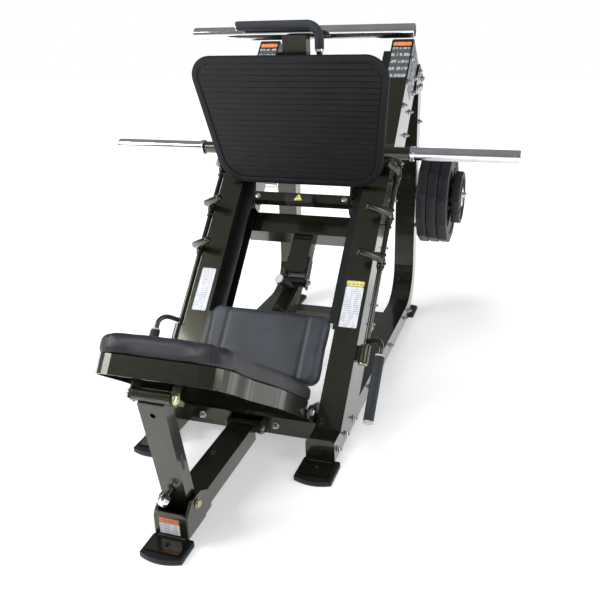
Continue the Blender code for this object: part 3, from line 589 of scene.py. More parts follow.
def make_labels():
    """Plain stickers, with bars in place of any wording."""

    def sticker(name, points, normal, look, body=MAIN):
        bm = bmesh.new()
        slab(bm, [point + normal * GAP for point in points], normal * 0.0005)
        piece(name, bm, look, body, sharp=60)

    def patch(at, low, high, radius):
        middle = [(a + b) / 2 for a, b in zip(low, high)]
        half = [(b - a) / 2 for a, b in zip(low, high)]
        return [at(middle[0] + u, middle[1] + v) for u, v in box_outline(*half, radius)]

    def rail_sticker(name, low, high, look):
        points = patch(lambda x, t: on_rail(x, t, 0), low, high, 0.005)
        sticker(name, points, OUT_OF_RAIL, look)

    rail_sticker("left_rail_label", (-0.332, -0.64), (-0.273, -0.458), LABEL)
    rail_sticker("right_rail_label", (0.27, -0.646), (0.338, -0.482), LABEL)
    rail_sticker("right_rail_header", (0.27, -0.48), (0.338, -0.458), YELLOW)
    for side, sign in SIDES:
        low, high = sorted((sign * 0.266, sign * 0.345))
        rail_sticker(f"{side}_top_label", (low, 0.48), (high, 0.64), DARK_LABEL)
        rail_sticker(f"{side}_top_strip", (low, 0.648), (high, 0.668), ORANGE)
    points = patch(lambda t, n: on_rail(OUTER_X, t, n), (0.455, -0.116), (0.665, -0.044), 0.004)
    sticker("side_decal", points, Vector(RIGHT), SILVER_LABEL)
    for name, low, high, look in (
        ("foot_label", 0.036, 0.074, LABEL),
        ("foot_label_header", 0.0745, 0.092, ORANGE),
    ):
        face = HORN_Y - 1.2952
        points = patch(lambda x, z, y=face: Vector((x, y, z)), (-0.037, low), (0.029, high), 0.002)
        sticker(name, points, Vector((0, -1, 0)), look, "bench_base")


def make_welds():
    """Weld beads where the tubes and brackets meet."""
    bm = bmesh.new()
    for _, sign in SIDES:
        x, y = sign * 0.0675, HORN_Y - 0.709
        weld(bm, [(x, y, 0.042), (x, y, 0.1)])
        weld(bm, [on_rail(sign * 0.043, -0.216, n) for n in (-0.205, -0.155)])
        for t in (-0.345, -0.3):
            weld(bm, [on_rail(sign * 0.043, t, n) for n in (-0.152, -0.156)])
    weld(bm, [on_rail(x, -0.216, -0.1515) for x in (-0.04, 0.04)])
    for _, sign in SIDES:
        inner = sign * (INNER_X - 0.0008)
        weld(bm, [on_rail(inner, t, -0.1245) for t in (-0.21, -0.13)])
        weld(bm, [(sign * 0.262, HORN_Y - 0.7016, z) for z in (0.03, 0.1)])
        x = sign * RAIL_X
        weld(bm, [(x + across, HORN_Y - 0.808, 0.027) for across in (-0.04, 0.04)])
    piece("frame_welds", bm, PAINT, MAIN, sharp=80)
    bm = bmesh.new()
    weld(bm, [(x, HORN_Y - 1.296, 0.027) for x in (-0.045, 0.045)])
    weld(bm, [(x, HORN_Y - 0.757, 0.099) for x in (-0.028, 0.028)])
    piece("floor_tube_welds", bm, PAINT, "bench_base", sharp=80)


# Storage pegs and plates
PEG_Z = 0.622
PEG_R = 0.0125
PEG_END = 0.592
PLATE_BORE = 0.0253
STORED = (
    ("storage_plate_large_1", 0.386, 0.0455, 0.22),
    ("storage_plate_large_2", 0.4335, 0.0455, 0.22),
    ("storage_plate_large_3", 0.481, 0.0455, 0.22),
    ("storage_plate_small", 0.535, 0.038, 0.125),
)


def make_storage():
    length = PEG_END - OUTER_X - 0.0085
    profile = [(0, PEG_R), (length - 0.006, PEG_R), (length - 0.002, PEG_R - 0.002)]
    profile.append((length, PEG_R - 0.005))
    for side, sign in SIDES:
        way = Vector((sign, 0, 0))
        root = Vector((sign * (OUTER_X + GAP), POST_Y, PEG_Z))
        face = root + way * 0.0082
        bm = bmesh.new()
        lathe(bm, root, way, round_profile(0.008, 0.034, 0.002), 48)
        lathe(bm, face, way, profile, 48)
        piece(f"{side}_peg", bm, ZINC, MAIN, [f"{side}_storage_peg"])
        corners = [radians(angle) for angle in (45, 135, 225, 315)]
        spots = [face + Vector((0, cos(a), sin(a))) * 0.024 for a in corners]
        bolts(f"{side}_peg_bolts", spots, way, 0.0055, ZINC)
    for index, (node, x, thick, radius) in enumerate(STORED):
        make_plate(node, x, thick, radius, radians(15 + 4 * index))


def make_plate(node, x, thick, radius, twist):
    """A twelve-sided rubber plate: raised rim, sunk web with ribs, steel hub."""
    centre = Vector((x, POST_Y, PEG_Z - PLATE_BORE + PEG_R + 0.0003))
    sides = 12

    def polygon(size, depth):
        angles = [twist + 2 * pi * index / sides for index in range(sides)]
        corners = [(size * cos(angle), size * sin(angle)) for angle in angles]
        points = rounded(corners, [size * 0.1] * sides, 3)
        return [bm.verts.new(centre + Vector((depth, y, z))) for y, z in points]

    def circle(size, depth):
        middle = centre + Vector((depth, 0, 0))
        turn = Matrix.Rotation(twist + pi / (sides * 4), 3, "X")
        return ring(bm, middle, turn @ Vector((0, 1, 0)), turn @ Vector(UP), size, sides * 4)

    bm = bmesh.new()
    rim, web, hub = radius * 0.84, radius * 0.8, PLATE_BORE * 1.75
    edge, sunk, hub_step = 0.005, 0.007, 0.0012
    half = [(circle, hub, hub_step), (circle, hub + 0.004, sunk), (polygon, web, sunk)]
    half += [(polygon, rim, 0.0), (polygon, radius - edge, 0.0)]
    half += [(polygon, radius - edge * 0.3, edge * 0.3), (polygon, radius, edge)]
    rings = [shape(size, depth) for shape, size, depth in half]
    rings += [shape(size, thick - depth) for shape, size, depth in reversed(half)]
    skin(bm, rings, closed=True)
    reach = (web - hub) * 0.3
    for step in range(6):
        angle = twist + 2 * pi * (step + 0.5) / 6
        outward = Vector((0, cos(angle), sin(angle)))
        across = Vector((0, -sin(angle), cos(angle)))
        middle = centre + Vector((thick - 0.0068, 0, 0)) + outward * (hub + web) / 2
        rib = box_outline(1, 1, 0.5, 4)
        rib = [middle + outward * u * reach + across * v * radius * 0.045 for u, v in rib]
        slab(bm, rib, (0.005, 0, 0))
    soften(piece(f"{node}_rubber", bm, RUBBER, MAIN, [node], sharp=40), 0.0012)
    bm = bmesh.new()
    profile = both_ends([(0, PLATE_BORE), (0, hub - 0.0006)], thick - 0.001)
    lathe(bm, centre + Vector((0.0005, 0, 0)), RIGHT, profile, closed=True)
    piece(f"{node}_hub", bm, ZINC, MAIN, bevel=0.0008)


# The carriage
def foot_outline(inset=0.0):
    corners = [
        (-0.334 + inset, inset),
        (0.334 - inset, inset),
        (0.397 - inset, FOOT_LENGTH - inset),
        (-0.397 + inset, FOOT_LENGTH - inset),
    ]
    return rounded(corners, (0.112 - inset, 0.112 - inset, 0.085 - inset, 0.085 - inset), 14)


def foot_half_width(up, inset):
    """Half the mat's width at a height, from its inset outline."""
    outline = foot_outline(inset)
    best = 0.0
    for (x1, u1), (x2, u2) in zip(outline, outline[1:] + outline[:1]):
        if min(u1, u2) <= up <= max(u1, u2) and u1 != u2:
            best = max(best, x1 + (x2 - x1) * (up - u1) / (u2 - u1))
    return best


def make_mat():
    """The foot mat: a smooth raised border round a field of wide ribs with fine grooves."""
    out = on_foot_plate(0, 0, 1) - on_foot_plate(0, 0, 0)
    bm = bmesh.new()
    slab(bm, [on_foot_plate(x, up, -0.0098) for x, up in foot_outline()], out * 0.006)
    low = -0.0036
    steps = [(0.0008, low), (0.0008, -0.001), (0.004, 0.0), (0.021, 0.0)]
    steps += [(MAT_BORDER, -0.0012), (MAT_BORDER, low)]
    loops = []
    for inset, depth in steps:
        points = foot_outline(inset)
        loops.append([bm.verts.new(on_foot_plate(x, up, depth)) for x, up in points])
    skin(bm, loops, closed=True)
    piece("foot_mat_border", bm, MAT_RUBBER, "carriage", ["foot_mat"], sharp=50)
    bm = bmesh.new()
    ribs = 21
    start = MAT_BORDER + 0.002
    pitch = (FOOT_LENGTH - 2 * start) / ribs
    for index in range(ribs):
        up = start + pitch * (index + 0.5)
        ends = [foot_half_width(up + pitch * s, MAT_BORDER) - 0.0025 for s in (-0.4, 0.4)]
        ridge(bm, up, pitch, min(ends))
    piece("foot_mat_ribs", bm, MAT_RUBBER, "carriage", sharp=30)


def ridge(bm, up, pitch, half):
    """One flat-topped rib of the mat, with its upper side sloping back."""
    section = [(-0.46, -0.0038), (-0.44, -0.0016), (-0.4, -0.0008)]
    section += [(0.3, -0.0008), (0.4, -0.0028), (0.46, -0.0038)]
    ends = []
    for sign in (-1, 1):
        loop = []
        for along, depth in section:
            tuck = 0.002 if depth > -0.001 else 0.0
            spot = on_foot_plate(sign * (half - tuck), up + along * pitch, depth)
            loop.append(bm.verts.new(spot))
        ends.append(loop)
    skin(bm, ends)


COLLAR_X = 0.436
SLEEVE_END = 0.8485
TOP_BAR_HALF = 0.4405


def make_horns():
    """Painted tube with chrome plate sleeves, their collars and end plugs."""
    length = 2 * COLLAR_X
    profile = both_ends([(0, 0.018), (0, 0.0235), (0.0008, 0.024)], length)
    start = (-COLLAR_X, HORN_Y, HORN_Z)
    turned("horn_tube_round", start, RIGHT, profile, PAINT, "carriage", ["horn_tube"], 64, True)
    length = SLEEVE_END - COLLAR_X - GAP
    profile = [(0, 0.028), (0.0015, 0.0296), (0.004, 0.03), (0.0068, 0.0296)]
    profile += [(0.0075, 0.0282), (0.0085, 0.0282), (0.0092, 0.0294), (0.0145, 0.0294)]
    profile += [(0.016, 0.028), (0.016, 0.025)]
    tail = [(0.02, 0.025), (0.0195, 0.0246), (0.0185, 0.0246), (0.018, 0.025)]
    tail += [(0.003, 0.025), (0.0008, 0.0242), (0, 0.022), (0, 0.016), (0.004, 0.015)]
    profile += [(length - before, r) for before, r in tail]
    plug = round_profile(0.003, 0.014, 0.001)
    for side, sign in SIDES:
        start = Vector((sign * (COLLAR_X + GAP), HORN_Y, HORN_Z))
        way = Vector((sign, 0, 0))
        node = f"{side}_horn_sleeve"
        turned(f"{side}_sleeve", start, way, profile, CHROME, "carriage", [node], 72)
        inside = start + way * (length - 0.0038)
        turned(f"{side}_sleeve_plug", inside, way, plug, SATIN, "carriage", (), 40)


def make_top_bar():
    y, z = HORN_Y + 0.001, HORN_Z + 0.444
    length = 2 * TOP_BAR_HALF
    lip = 0.0015
    profile = both_ends([(0, 0.0215), (0, 0.025 - lip), (lip, 0.025)], length)
    start = (-TOP_BAR_HALF, y, z)
    turned("top_bar_tube", start, RIGHT, profile, CHROME, "carriage", ["top_bar"], 72, True)
    bm = bmesh.new()
    for _, sign in SIDES:
        plug = round_profile(0.008, 0.0212, 0.002)
        lathe(bm, (sign * (TOP_BAR_HALF - 0.0105), y, z), (sign, 0, 0), plug, 40)
    piece("top_bar_plugs", bm, SATIN, "carriage")


def make_carriage_trim():
    """Saddles, bolts and the bumper with its plain triangle."""
    bm = bmesh.new()
    outline = arc((HORN_Y, HORN_Z), 0.03, 200, 400, 18)
    outline += arc((HORN_Y, HORN_Z), 0.0245, 400, 208, 16)
    for _, sign in SIDES:
        slab(bm, [(sign * 0.2065 - 0.01, y, z) for y, z in outline], (0.02, 0, 0))
    piece("horn_saddles", bm, PAINT, "carriage", bevel=0.0006)
    bm = bmesh.new()
    for _, sign in SIDES:
        for z in (1.005, 1.04):
            bolt(bm, (sign * 0.0482, HORN_Y - 0.05, z), (sign, 0, 0), 0.008)
        for t in (-0.1, 0.25):
            bolt(bm, on_rail(sign * 0.2018, t, -0.088), (-sign, 0, 0), 0.01)
        bolt(bm, on_rail(sign * 0.186, -0.1, -0.0246), OUT_OF_RAIL, 0.009)
    piece("carriage_bolts", bm, ZINC, "carriage", sharp=25)
    bm = bmesh.new()
    face = box_outline(0.02, 0.021, 0.005)
    slab(bm, [on_rail(-0.053, -0.119 + t, -0.01 + n) for t, n in face], (0.116, 0, 0))
    piece("carriage_bumper", bm, RUBBER, "carriage", bevel=0.002, steps=3)
    bm = bmesh.new()
    triangle = rounded([(-0.019, -0.014), (0.019, -0.014), (0, 0.017)], [0.003] * 3, 4)
    points = [on_rail(0.004 + x, -0.121 + t, 0.0114) for x, t in triangle]
    slab(bm, points, OUT_OF_RAIL * 0.0005)
    piece("bumper_triangle", bm, YELLOW, "carriage", sharp=60)


def make_rollers():
    length = 0.026
    tyre = [(0, 0.015), (0, 0.028), (0.002, 0.03), (0.004, 0.0304)]
    tyre = both_ends(tyre, length)
    bearing = [(0.001, 0.0085), (0.001, 0.011), (0.002, 0.0112), (0.002, 0.0146)]
    bearing = both_ends(bearing, length)
    for side, sign in SIDES:
        for height, t in (("lower", -0.1), ("upper", 0.25)):
            name = f"{side}_{height}_roller"
            start = on_rail(sign * 0.2215, t, -0.08)
            way = (sign, 0, 0)
            turned(f"{name}_tyre", start, way, tyre, NYLON, name, [name], 56, True)
            turned(f"{name}_bearing", start, way, bearing, ZINC, name, (), 40, True)


HANDLE_Y = HORN_Y - 0.06
HANDLE_Z = HORN_Z + 0.473


def handle_path(start_x, end_z, steps=14):
    bend = arc((0.047, HANDLE_Z - 0.048), 0.048, 90, 0, steps)
    path = [(start_x, HANDLE_Y, HANDLE_Z), *[(x, HANDLE_Y, z) for x, z in bend]]
    return [*path, (0.095, HANDLE_Y, end_z)]


def make_loading_handle():
    """A bent bar with a foam sleeve between two bright rings."""
    end_z = HORN_Z + 0.33
    turn = arc((0.072, end_z), 0.023, 0, -90, 8)[1:]
    path = handle_path(-0.238, end_z) + [(x, HANDLE_Y, z) for x, z in turn]
    path.append((0.0479, HANDLE_Y, end_z - 0.023))
    bm = bmesh.new()
    tube(bm, path, 0.0119)
    piece("loading_bar", bm, PAINT, "carriage", ["loading_handle"])
    bm = bmesh.new()
    tube(bm, handle_path(-0.23, HORN_Z + 0.388), 0.0175, 0.0121, 36)
    piece("loading_foam", bm, FOAM, "carriage", ["loading_handle_foam"], bevel=0.0015)
    bm = bmesh.new()
    cap = round_profile(0.007, 0.0165, 0.001)
    lathe(bm, (-0.2304, HANDLE_Y, HANDLE_Z), (-1, 0, 0), cap, 40)
    collar = both_ends([(0, 0.0122), (0, 0.0165)], 0.008)
    lathe(bm, (0.095, HANDLE_Y, HORN_Z + 0.3876), (0, 0, -1), collar, 40, True)
    piece("loading_handle_rings", bm, CHROME, "carriage")


# Safety catches
SHAFT_X = 0.379
SHAFT_N = -0.027
SHAFT_R = 0.01
SHAFT_T = (-0.722, 0.085)
HOOKS = ((-0.365, 0.075, 0.095), (-0.172, 0.075, 0.095), (0.022, 0.03, 0.093))
HOOK_R = 0.0152
HOOK_KNEE = 0.047
HOOK_BACK = 0.014
GRIP_X = 0.447
GRIP_N = 0.025
GRIP_T = (-0.99, -0.745)


def make_catches():
    for side, sign in SIDES:
        body = f"{side}_catches"
        bm = bmesh.new()
        ends = [on_rail(sign * SHAFT_X, t, SHAFT_N) for t in SHAFT_T]
        rod(bm, *ends, SHAFT_R, 0.001, 36)
        for t, lean, rise in HOOKS:
            hook(bm, sign, t, lean, rise)
        arm(bm, sign)
        piece(f"{side}_catch_shaft", bm, PAINT, body, [f"{side}_safety_shaft"], sharp=40)
        low, high = (on_rail(sign * GRIP_X, t, GRIP_N) for t in GRIP_T)
        length = (high - low).length - 0.012
        profile = both_ends([(0, 0.0098), (0, 0.017), (0.0016, 0.0185)], length)
        start = low + UP_RAIL * 0.006
        node = f"{side}_safety_grip"
        turned(f"{side}_catch_grip", start, UP_RAIL, profile, FOAM, body, [node], 40, True)
        bm = bmesh.new()
        cap = both_ends([(0, 0.0098), (0, 0.0172)], 0.0055)
        lathe(bm, low, UP_RAIL, cap, 36, True)
        lathe(bm, high, -UP_RAIL, cap, 36, True)
        lathe(bm, low - UP_RAIL * 0.0046, UP_RAIL, round_profile(0.004, 0.017, 0.001), 36)
        piece(f"{side}_catch_grip_rings", bm, PALE_PLASTIC, body)


def hook(bm, sign, t, lean, rise):
    """A clamp on the shaft, a short upright and a thick catch bar that leans in over the rail."""
    centre = on_rail(sign * SHAFT_X, t, SHAFT_N)
    lathe(bm, centre - UP_RAIL * 0.018, UP_RAIL, round_profile(0.036, 0.0159, 0.002), 36)
    for along in (-0.0265, 0.0195):
        lathe(bm, centre + UP_RAIL * along, UP_RAIL, round_profile(0.007, 0.013, 0.001), 32)
    knee = on_rail(sign * SHAFT_X, t, SHAFT_N + HOOK_KNEE)
    tip = on_rail(sign * (SHAFT_X - lean), t, SHAFT_N + rise)
    rod(bm, centre, knee, 0.0112, 0.001, 32)
    way = (tip - knee).normalized()
    length = (tip - knee).length + HOOK_BACK
    profile = [(0, 0.012), (0.0008, 0.0142), (0.0025, HOOK_R), (length - 0.012, HOOK_R)]
    profile += [(length - 0.006, 0.0136), (length - 0.002, 0.0104), (length - 0.0003, 0.006)]
    lathe(bm, knee - way * HOOK_BACK, way, profile, 40)
    bolt(bm, on_rail(sign * (SHAFT_X + 0.015), t, SHAFT_N), (sign, 0, 0), 0.006, False)


def arm(bm, sign):
    bend = 0.04
    start_t = GRIP_T[1] + 0.062
    out = Vector((GRIP_X - SHAFT_X, GRIP_N - SHAFT_N))
    reach = out.length
    way = out / reach
    path = [(0.0, start_t), (reach - bend, start_t)]
    path += arc((reach - bend, start_t - bend), bend, 90, 0, 12)[1:]
    path.append((reach, GRIP_T[0] - 0.001))
    points = [on_rail(sign * (SHAFT_X + way.x * a), t, SHAFT_N + way.y * a) for a, t in path]
    tube(bm, points, 0.0096, segments=28)


def make_shaft_bearings():
    """Cheeks that carry the shafts, and the bright plugs at their lower ends."""
    turn = arc((SHAFT_X - OUTER_X, 0), 0.0155, 90, -90, 10)
    section = [(GAP, -0.0155), (GAP, 0.0155), *turn]
    cheeks, plugs = bmesh.new(), bmesh.new()
    for _, sign in SIDES:
        for t in (-0.33, -0.21, -0.135, -0.015, 0.06):
            points = [on_rail(sign * (OUTER_X + x), t, SHAFT_N + n) for x, n in section]
            slab(cheeks, points, UP_RAIL * 0.005)
        start = on_rail(sign * SHAFT_X, -0.7675, SHAFT_N)
        lathe(plugs, start, -UP_RAIL, round_profile(0.006, 0.0165, 0.002), 36)
    piece("shaft_cheeks", cheeks, PAINT, MAIN, bevel=0.0005)
    piece("shaft_plugs", plugs, GOLD_ZINC, MAIN)


# Soft pads
def inflate(obj, limit):
    """Lets the pad swell as stuffed cloth, then holds each point near where it was."""
    remesh = obj.modifiers.new("remesh", "REMESH")
    remesh.mode = "VOXEL"
    remesh.voxel_size = 0.006
    apply_modifiers(obj)
    rest = [vertex.co.copy() for vertex in obj.data.vertices]
    cloth = obj.modifiers.new("cloth", "CLOTH").settings
    cloth.quality = 4
    cloth.mass = 0.3
    cloth.use_pressure = True
    cloth.uniform_pressure_force = 4.0
    cloth.effector_weights.gravity = 0
    cloth.shrink_min = -0.01
    scene = bpy.context.scene
    for step in range(1, 21):
        scene.frame_set(step)
    apply_modifiers(obj)
    scene.frame_set(1)
    for vertex, start in zip(obj.data.vertices, rest):
        moved = vertex.co - start
        if moved.length > limit:
            vertex.co = start + moved * (limit / moved.length)
    calm = obj.modifiers.new("calm", "SMOOTH")
    calm.factor = 0.5
    calm.iterations = 9
    apply_modifiers(obj)


def apply_modifiers(obj):
    graph = bpy.context.evaluated_depsgraph_get()
    made = bpy.data.meshes.new_from_object(obj.evaluated_get(graph))
    obj.modifiers.clear()
    old = obj.data
    obj.data = made
    bpy.data.meshes.remove(old)


def pad_shape(name, outline, thick, at, look):
    """A slab with rounded rims, ready to be swelled."""
    bm = bmesh.new()
    slab(bm, [at(x, up, 0.001) for x, up in outline], at(0, 0, thick) - at(0, 0, 0.001))
    bmesh.ops.recalc_face_normals(bm, faces=bm.faces)
    rim = [edge for edge in bm.edges if edge.calc_face_angle(0) > 0.9]
    bmesh.ops.bevel(bm, geom=rim, offset=0.011, segments=4, affect="EDGES", profile=0.6)
    return mesh_object(name, bm, look)


SEAM_X = 0.16
SEAM_WIDTH = 0.0055
PAD_GROW = 0.007
PAD_GAP = 0.0008


def press_seams(obj, at, thick, upper, depth, crown=0.0, reach=1.0):
    """Crowns the pad's face, sinks its two seams and keeps its back flat."""
    face = at(0, 0, 1) - at(0, 0, 0)
    back = at(0, 0, 0)
    for vertex in obj.data.vertices:
        out = (vertex.co - back).dot(face)
        near = min(abs(abs(vertex.co.x) - SEAM_X) / SEAM_WIDTH, 3)
        if out < PAD_GAP:
            vertex.co += face * (PAD_GAP - out)
        if out > thick * upper:
            across = min(abs(vertex.co.x) / reach, 1)
            vertex.co += face * crown * (1 - across * across) * (out / thick)
            vertex.co -= face * depth * exp(-near * near)


def seam_lines(at, count):
    """Two rows of points beside each seam, from a function of x and the share along it."""
    rows = [x + shift for x in (-SEAM_X, SEAM_X) for shift in (-0.0048, 0.0048)]
    return [[at(x, step / count) for step in range(count + 1)] for x in rows]


def finish_pad(obj, body, node):
    finer = obj.modifiers.new("finer", "SUBSURF")
    finer.levels = 1
    finer.render_levels = 1
    apply_modifiers(obj)
    obj.data.shade_smooth()
    place(obj, body, [node])


SEAT_TOP = (-0.616, 0.028)
SEAT_LENGTH = 0.265
SEAT_HALF = 0.236
SEAT_THICK = 0.052


def on_seat(x, up, out):
    """Up along the seat from its lower edge, out from its back."""
    return on_rail(x, SEAT_TOP[0] - SEAT_LENGTH + up, SEAT_TOP[1] - SEAT_THICK + out)


def make_seat():
    half, top, low = SEAT_HALF + PAD_GROW, SEAT_LENGTH + PAD_GROW, -PAD_GROW
    outline = rounded([(-half, low), (half, low), (half, top), (-half, top)], [0.045] * 4, 10)
    obj = pad_shape("seat_cushion", outline, SEAT_THICK - 0.006, on_seat, SEAT_LEATHER)
    inflate(obj, 0.007)
    press_seams(obj, on_seat, SEAT_THICK, 0.45, 0.0035)
    finish_pad(obj, "seat", "seat_pad")
    lines = seam_lines(lambda x, share: on_seat(x, 0.006 + 0.253 * share, SEAT_THICK + 0.03), 60)
    stitches("seat_stitching", obj, lines, -OUT_OF_RAIL, "seat")


def stitches(name, pad, lines, towards, body):
    """Thread laid stitch by stitch on the pad's surface along the given lines."""
    tree = BVHTree.FromObject(pad, bpy.context.evaluated_depsgraph_get())
    thin, full = 0.0004, 0.0009
    bm = bmesh.new()
    for line in lines:
        hits = [tree.ray_cast(point, towards, 0.12)[0] for point in line]
        hits = [hit for hit in hits if hit]
        for start, end in zip(hits[::2], hits[1::2]):
            way = end - start
            if way.length > 0.03:
                continue
            long = way.length
            profile = [(0, thin), (0.0008, full), (long * 1.25, full), (long * 1.3, thin)]
            lathe(bm, start - towards * 0.0003 - way * 0.15, way, profile, 8)
    piece(name, bm, THREAD, body, sharp=60)


BENCH_LENGTH = 0.721
BENCH_HIP = 0.24
BENCH_HEAD = 0.204
BENCH_WAIST = (0.36, 0.5)
BENCH_PAD = 0.055


def bench_outline(inset):
    hip, head = BENCH_HIP - inset, BENCH_HEAD - inset
    low, top = inset, BENCH_LENGTH - inset
    right = [(hip, low), (hip, BENCH_WAIST[0]), (head, BENCH_WAIST[1]), (head, top)]
    left = [(-x, up) for x, up in reversed(right)]
    return rounded([*right, *left], (0.05, 0.12, 0.12, 0.07, 0.07, 0.12, 0.12, 0.05), 10)


def make_bench_pad():
    outline = bench_outline(-0.005)
    obj = pad_shape("bench_cushion", outline, BENCH_PAD - 0.006, on_bench, SIDE_LEATHER)
    inflate(obj, 0.007)
    press_seams(obj, on_bench, BENCH_PAD, 0.5, 0.003, 0.009, BENCH_HIP)
    finish_pad(obj, "backrest", "bench_pad")
    lines = seam_lines(lambda x, share: on_bench(x, 0.006 + 0.71 * share, BENCH_PAD + 0.03), 160)
    face = on_bench(0, 0, 1) - on_bench(0, 0, 0)
    stitches("bench_top_stitching", obj, lines, -face, "backrest")
    beyond = BENCH_LENGTH + 0.03
    lines = seam_lines(lambda x, share: on_bench(x, beyond, 0.006 + 0.042 * share), 10)
    down = on_bench(0, 1, 0) - on_bench(0, 0, 0)
    stitches("bench_end_stitching", obj, lines, -down, "backrest")


# The bench's metal parts
LEG_TOP = on_bench(0, 0.69, -0.096)
LEG_FOOT = Vector((0, HORN_Y - 1.225, 0.108))


def make_bench_trim():
    pivot = on_bench(0, 0.035, -0.035)
    bolt_pair("bench_pivot_bolts", 0.253, pivot.y, pivot.z, 0.011)
    spots = [on_bench(x, up, -0.0042) for up in (0.1, 0.3, 0.5, 0.66) for x in (-0.12, 0.12)]
    below = on_bench(0, 0, -1) - on_bench(0, 0, 0)
    bolts("bench_tray_bolts", spots, below, 0.007, ZINC, "backrest")
    hinge_bolt("leg_top_bolt", LEG_TOP, 0.0665, 0.0165, 0.01, "backrest", GOLD_ZINC)
    hinge_bolt("leg_foot_bolt", LEG_FOOT, 0.056, 0.0155, 0.01, "bench_base", GOLD_ZINC)
    rear = Vector((0, HORN_Y - 0.735, 0.075))
    hinge_bolt("floor_hinge_pin", rear, 0.0675, 0.012, 0.007, MAIN, ZINC)
    make_knob()
    way = (LEG_FOOT - LEG_TOP).normalized()
    side = LEG_TOP + way * 0.235 + Vector((0.0401, 0, 0))
    front = way.cross(Vector(RIGHT)).normalized()
    # A flat satin black plate in the shape of a slot on the leg's side: its black is painted shade
    # that stands for the shaded inside of the slot's opening, not a rim.
    bm = bmesh.new()
    slot = box_outline(0.03, 0.006, 0.0055, 8)
    slab(bm, [side + way * u + front * v for u, v in slot], (0.0008, 0, 0))
    piece("leg_slot_painted_shade", bm, SATIN, "bench_leg")
    bm = bmesh.new()
    shoulder = LEG_TOP + way * 0.0095
    face = box_outline(0.0395, 0.0225, 0.004)
    slab(bm, [shoulder + Vector((x, 0, 0)) + front * y for x, y in face], way * 0.003)
    piece("leg_shoulder", bm, PAINT, "bench_leg", bevel=0.001)


def hinge_bolt(node, centre, half, head, high, body, look):
    """A round-headed hinge bolt with washers and a locking nut."""
    bm = bmesh.new()
    right = Vector(RIGHT)
    reach = right * (half + high * 0.2)
    rod(bm, centre - reach, centre + reach, 0.0079, 0.0005)
    for sign in (-1, 1):
        start = centre + right * sign * (half + 0.0002)
        lathe(bm, start, right * sign, round_profile(0.002, head, 0.0006, 2), 40)
    nut = [(0, head * 0.86), (high * 0.45, head * 0.86), (high * 0.62, head * 0.7)]
    face = half + 0.0023
    lathe(bm, centre + right * face, right, nut, 6)
    stud = round_profile(high * 0.15, 0.006, 0.0004, 2)
    lathe(bm, centre + right * (face + high * 0.6), right, stud, 24)
    dome = round_profile(high * 0.72, head * 0.8, high * 0.35, 5)
    lathe(bm, centre - right * face, -right, dome, 40)
    piece(f"{node}_bright", bm, look, body, [node], sharp=30)


def make_knob():
    """The sprung lock pin: a threaded collar and a fluted pull knob on the front of the leg."""
    up = (LEG_TOP - LEG_FOOT).normalized()
    way = up.cross(Vector((-1, 0, 0))).normalized()
    start = LEG_FOOT + Vector((-0.016, 0, 0)) + up * 0.053 + way * (0.023 + GAP)
    bm = bmesh.new()
    lathe(bm, start, way, round_profile(0.016, 0.0062, 0.0008), 32)
    aside = way.orthogonal().normalized()
    other = way.cross(aside)
    flutes = 10
    count = flutes * 6
    profile = [(0.0162, 0.01), (0.018, 0.014), (0.024, 0.0172)]
    profile += [(0.04, 0.0172), (0.0445, 0.0145), (0.046, 0.011)]
    rings = []
    for along, radius in profile:
        depth = 0.0016 if radius > 0.015 else 0.0
        loop = []
        for step in range(count):
            angle = 2 * pi * step / count
            size = radius - depth * max(0, cos(angle * flutes))
            spot = start + way * along + size * (aside * cos(angle) + other * sin(angle))
            loop.append(bm.verts.new(spot))
        rings.append(loop)
    skin(bm, rings)
    piece("leg_lock_knob", bm, CHROME, "leg_lock", ["leg_lock_pin"], sharp=30)


def make_seat_lock():
    pivot = on_rail(0, -0.405, -0.19)
    way = Vector((-0.3, -0.72, 0.62)).normalized()
    start = Vector((0, pivot.y - 0.075, pivot.z + 0.01)) - 0.012 * way
    profile = [(0, 0.0098), (0.0258, 0.0098), (0.0262, 0.019), (0.028, 0.0208)]
    for step in range(6):
        along = 0.032 + step * 0.0085
        profile += [(along, 0.0208), (along + 0.001, 0.0198)]
        profile += [(along + 0.0022, 0.0198), (along + 0.0032, 0.0208)]
    profile += [(0.083, 0.0208), (0.0855, 0.0194)]
    body = "seat_lock"
    turned("seat_lock_grip", start, way, profile, RUBBER, body, ["seat_lock_handle"], 44)
    cap = round_profile(0.0082, 0.0192, 0.004)
    turned("seat_lock_cap", start + way * 0.0857, way, cap, PALE_PLASTIC, body, (), 44)
    bolt_pair("seat_pivot_bolts", 0.049, pivot.y, pivot.z, 0.012)


# Floor, light and camera
def make_stage():
    """A pale floor that glows more with distance, so that it melts into the backdrop."""
    look, tree, shader = start_material("studio_floor", (0.86, 0.86, 0.87), 0.8)
    shader.inputs["Emission Color"].default_value = (1, 1, 1, 1)
    spot = tree.nodes.new("ShaderNodeTexCoord")
    distance = tree.nodes.new("ShaderNodeVectorMath")
    distance.operation = "LENGTH"
    tree.links.new(spot.outputs["Object"], distance.inputs[0])
    glow = remap(tree, distance.outputs["Value"], 0.42, 0.98, 1.0, 3.4)
    feed(shader, "Emission Strength", glow)
    wash = pattern(tree, "Noise", 0.6, Detail=2)
    tone = ramp(tree, wash, ((0.3, (0.86, 0.86, 0.87)), (0.7, (0.88, 0.88, 0.89))))
    feed(shader, "Base Color", tone)
    bm = bmesh.new()
    reach = 14.0
    for x, y in ((-reach, -reach), (reach, -reach), (reach, reach), (-reach, reach)):
        bm.verts.new((x, y, -0.0004))
    bm.faces.new(bm.verts)
    mesh_object("floor", bm, look)


SKY = (
    (0.0, (0.75, 0.75, 0.76)),
    (0.2, (0.6, 0.61, 0.63)),
    (0.32, (0.2, 0.205, 0.215)),
    (0.75, (0.3, 0.31, 0.32)),
)


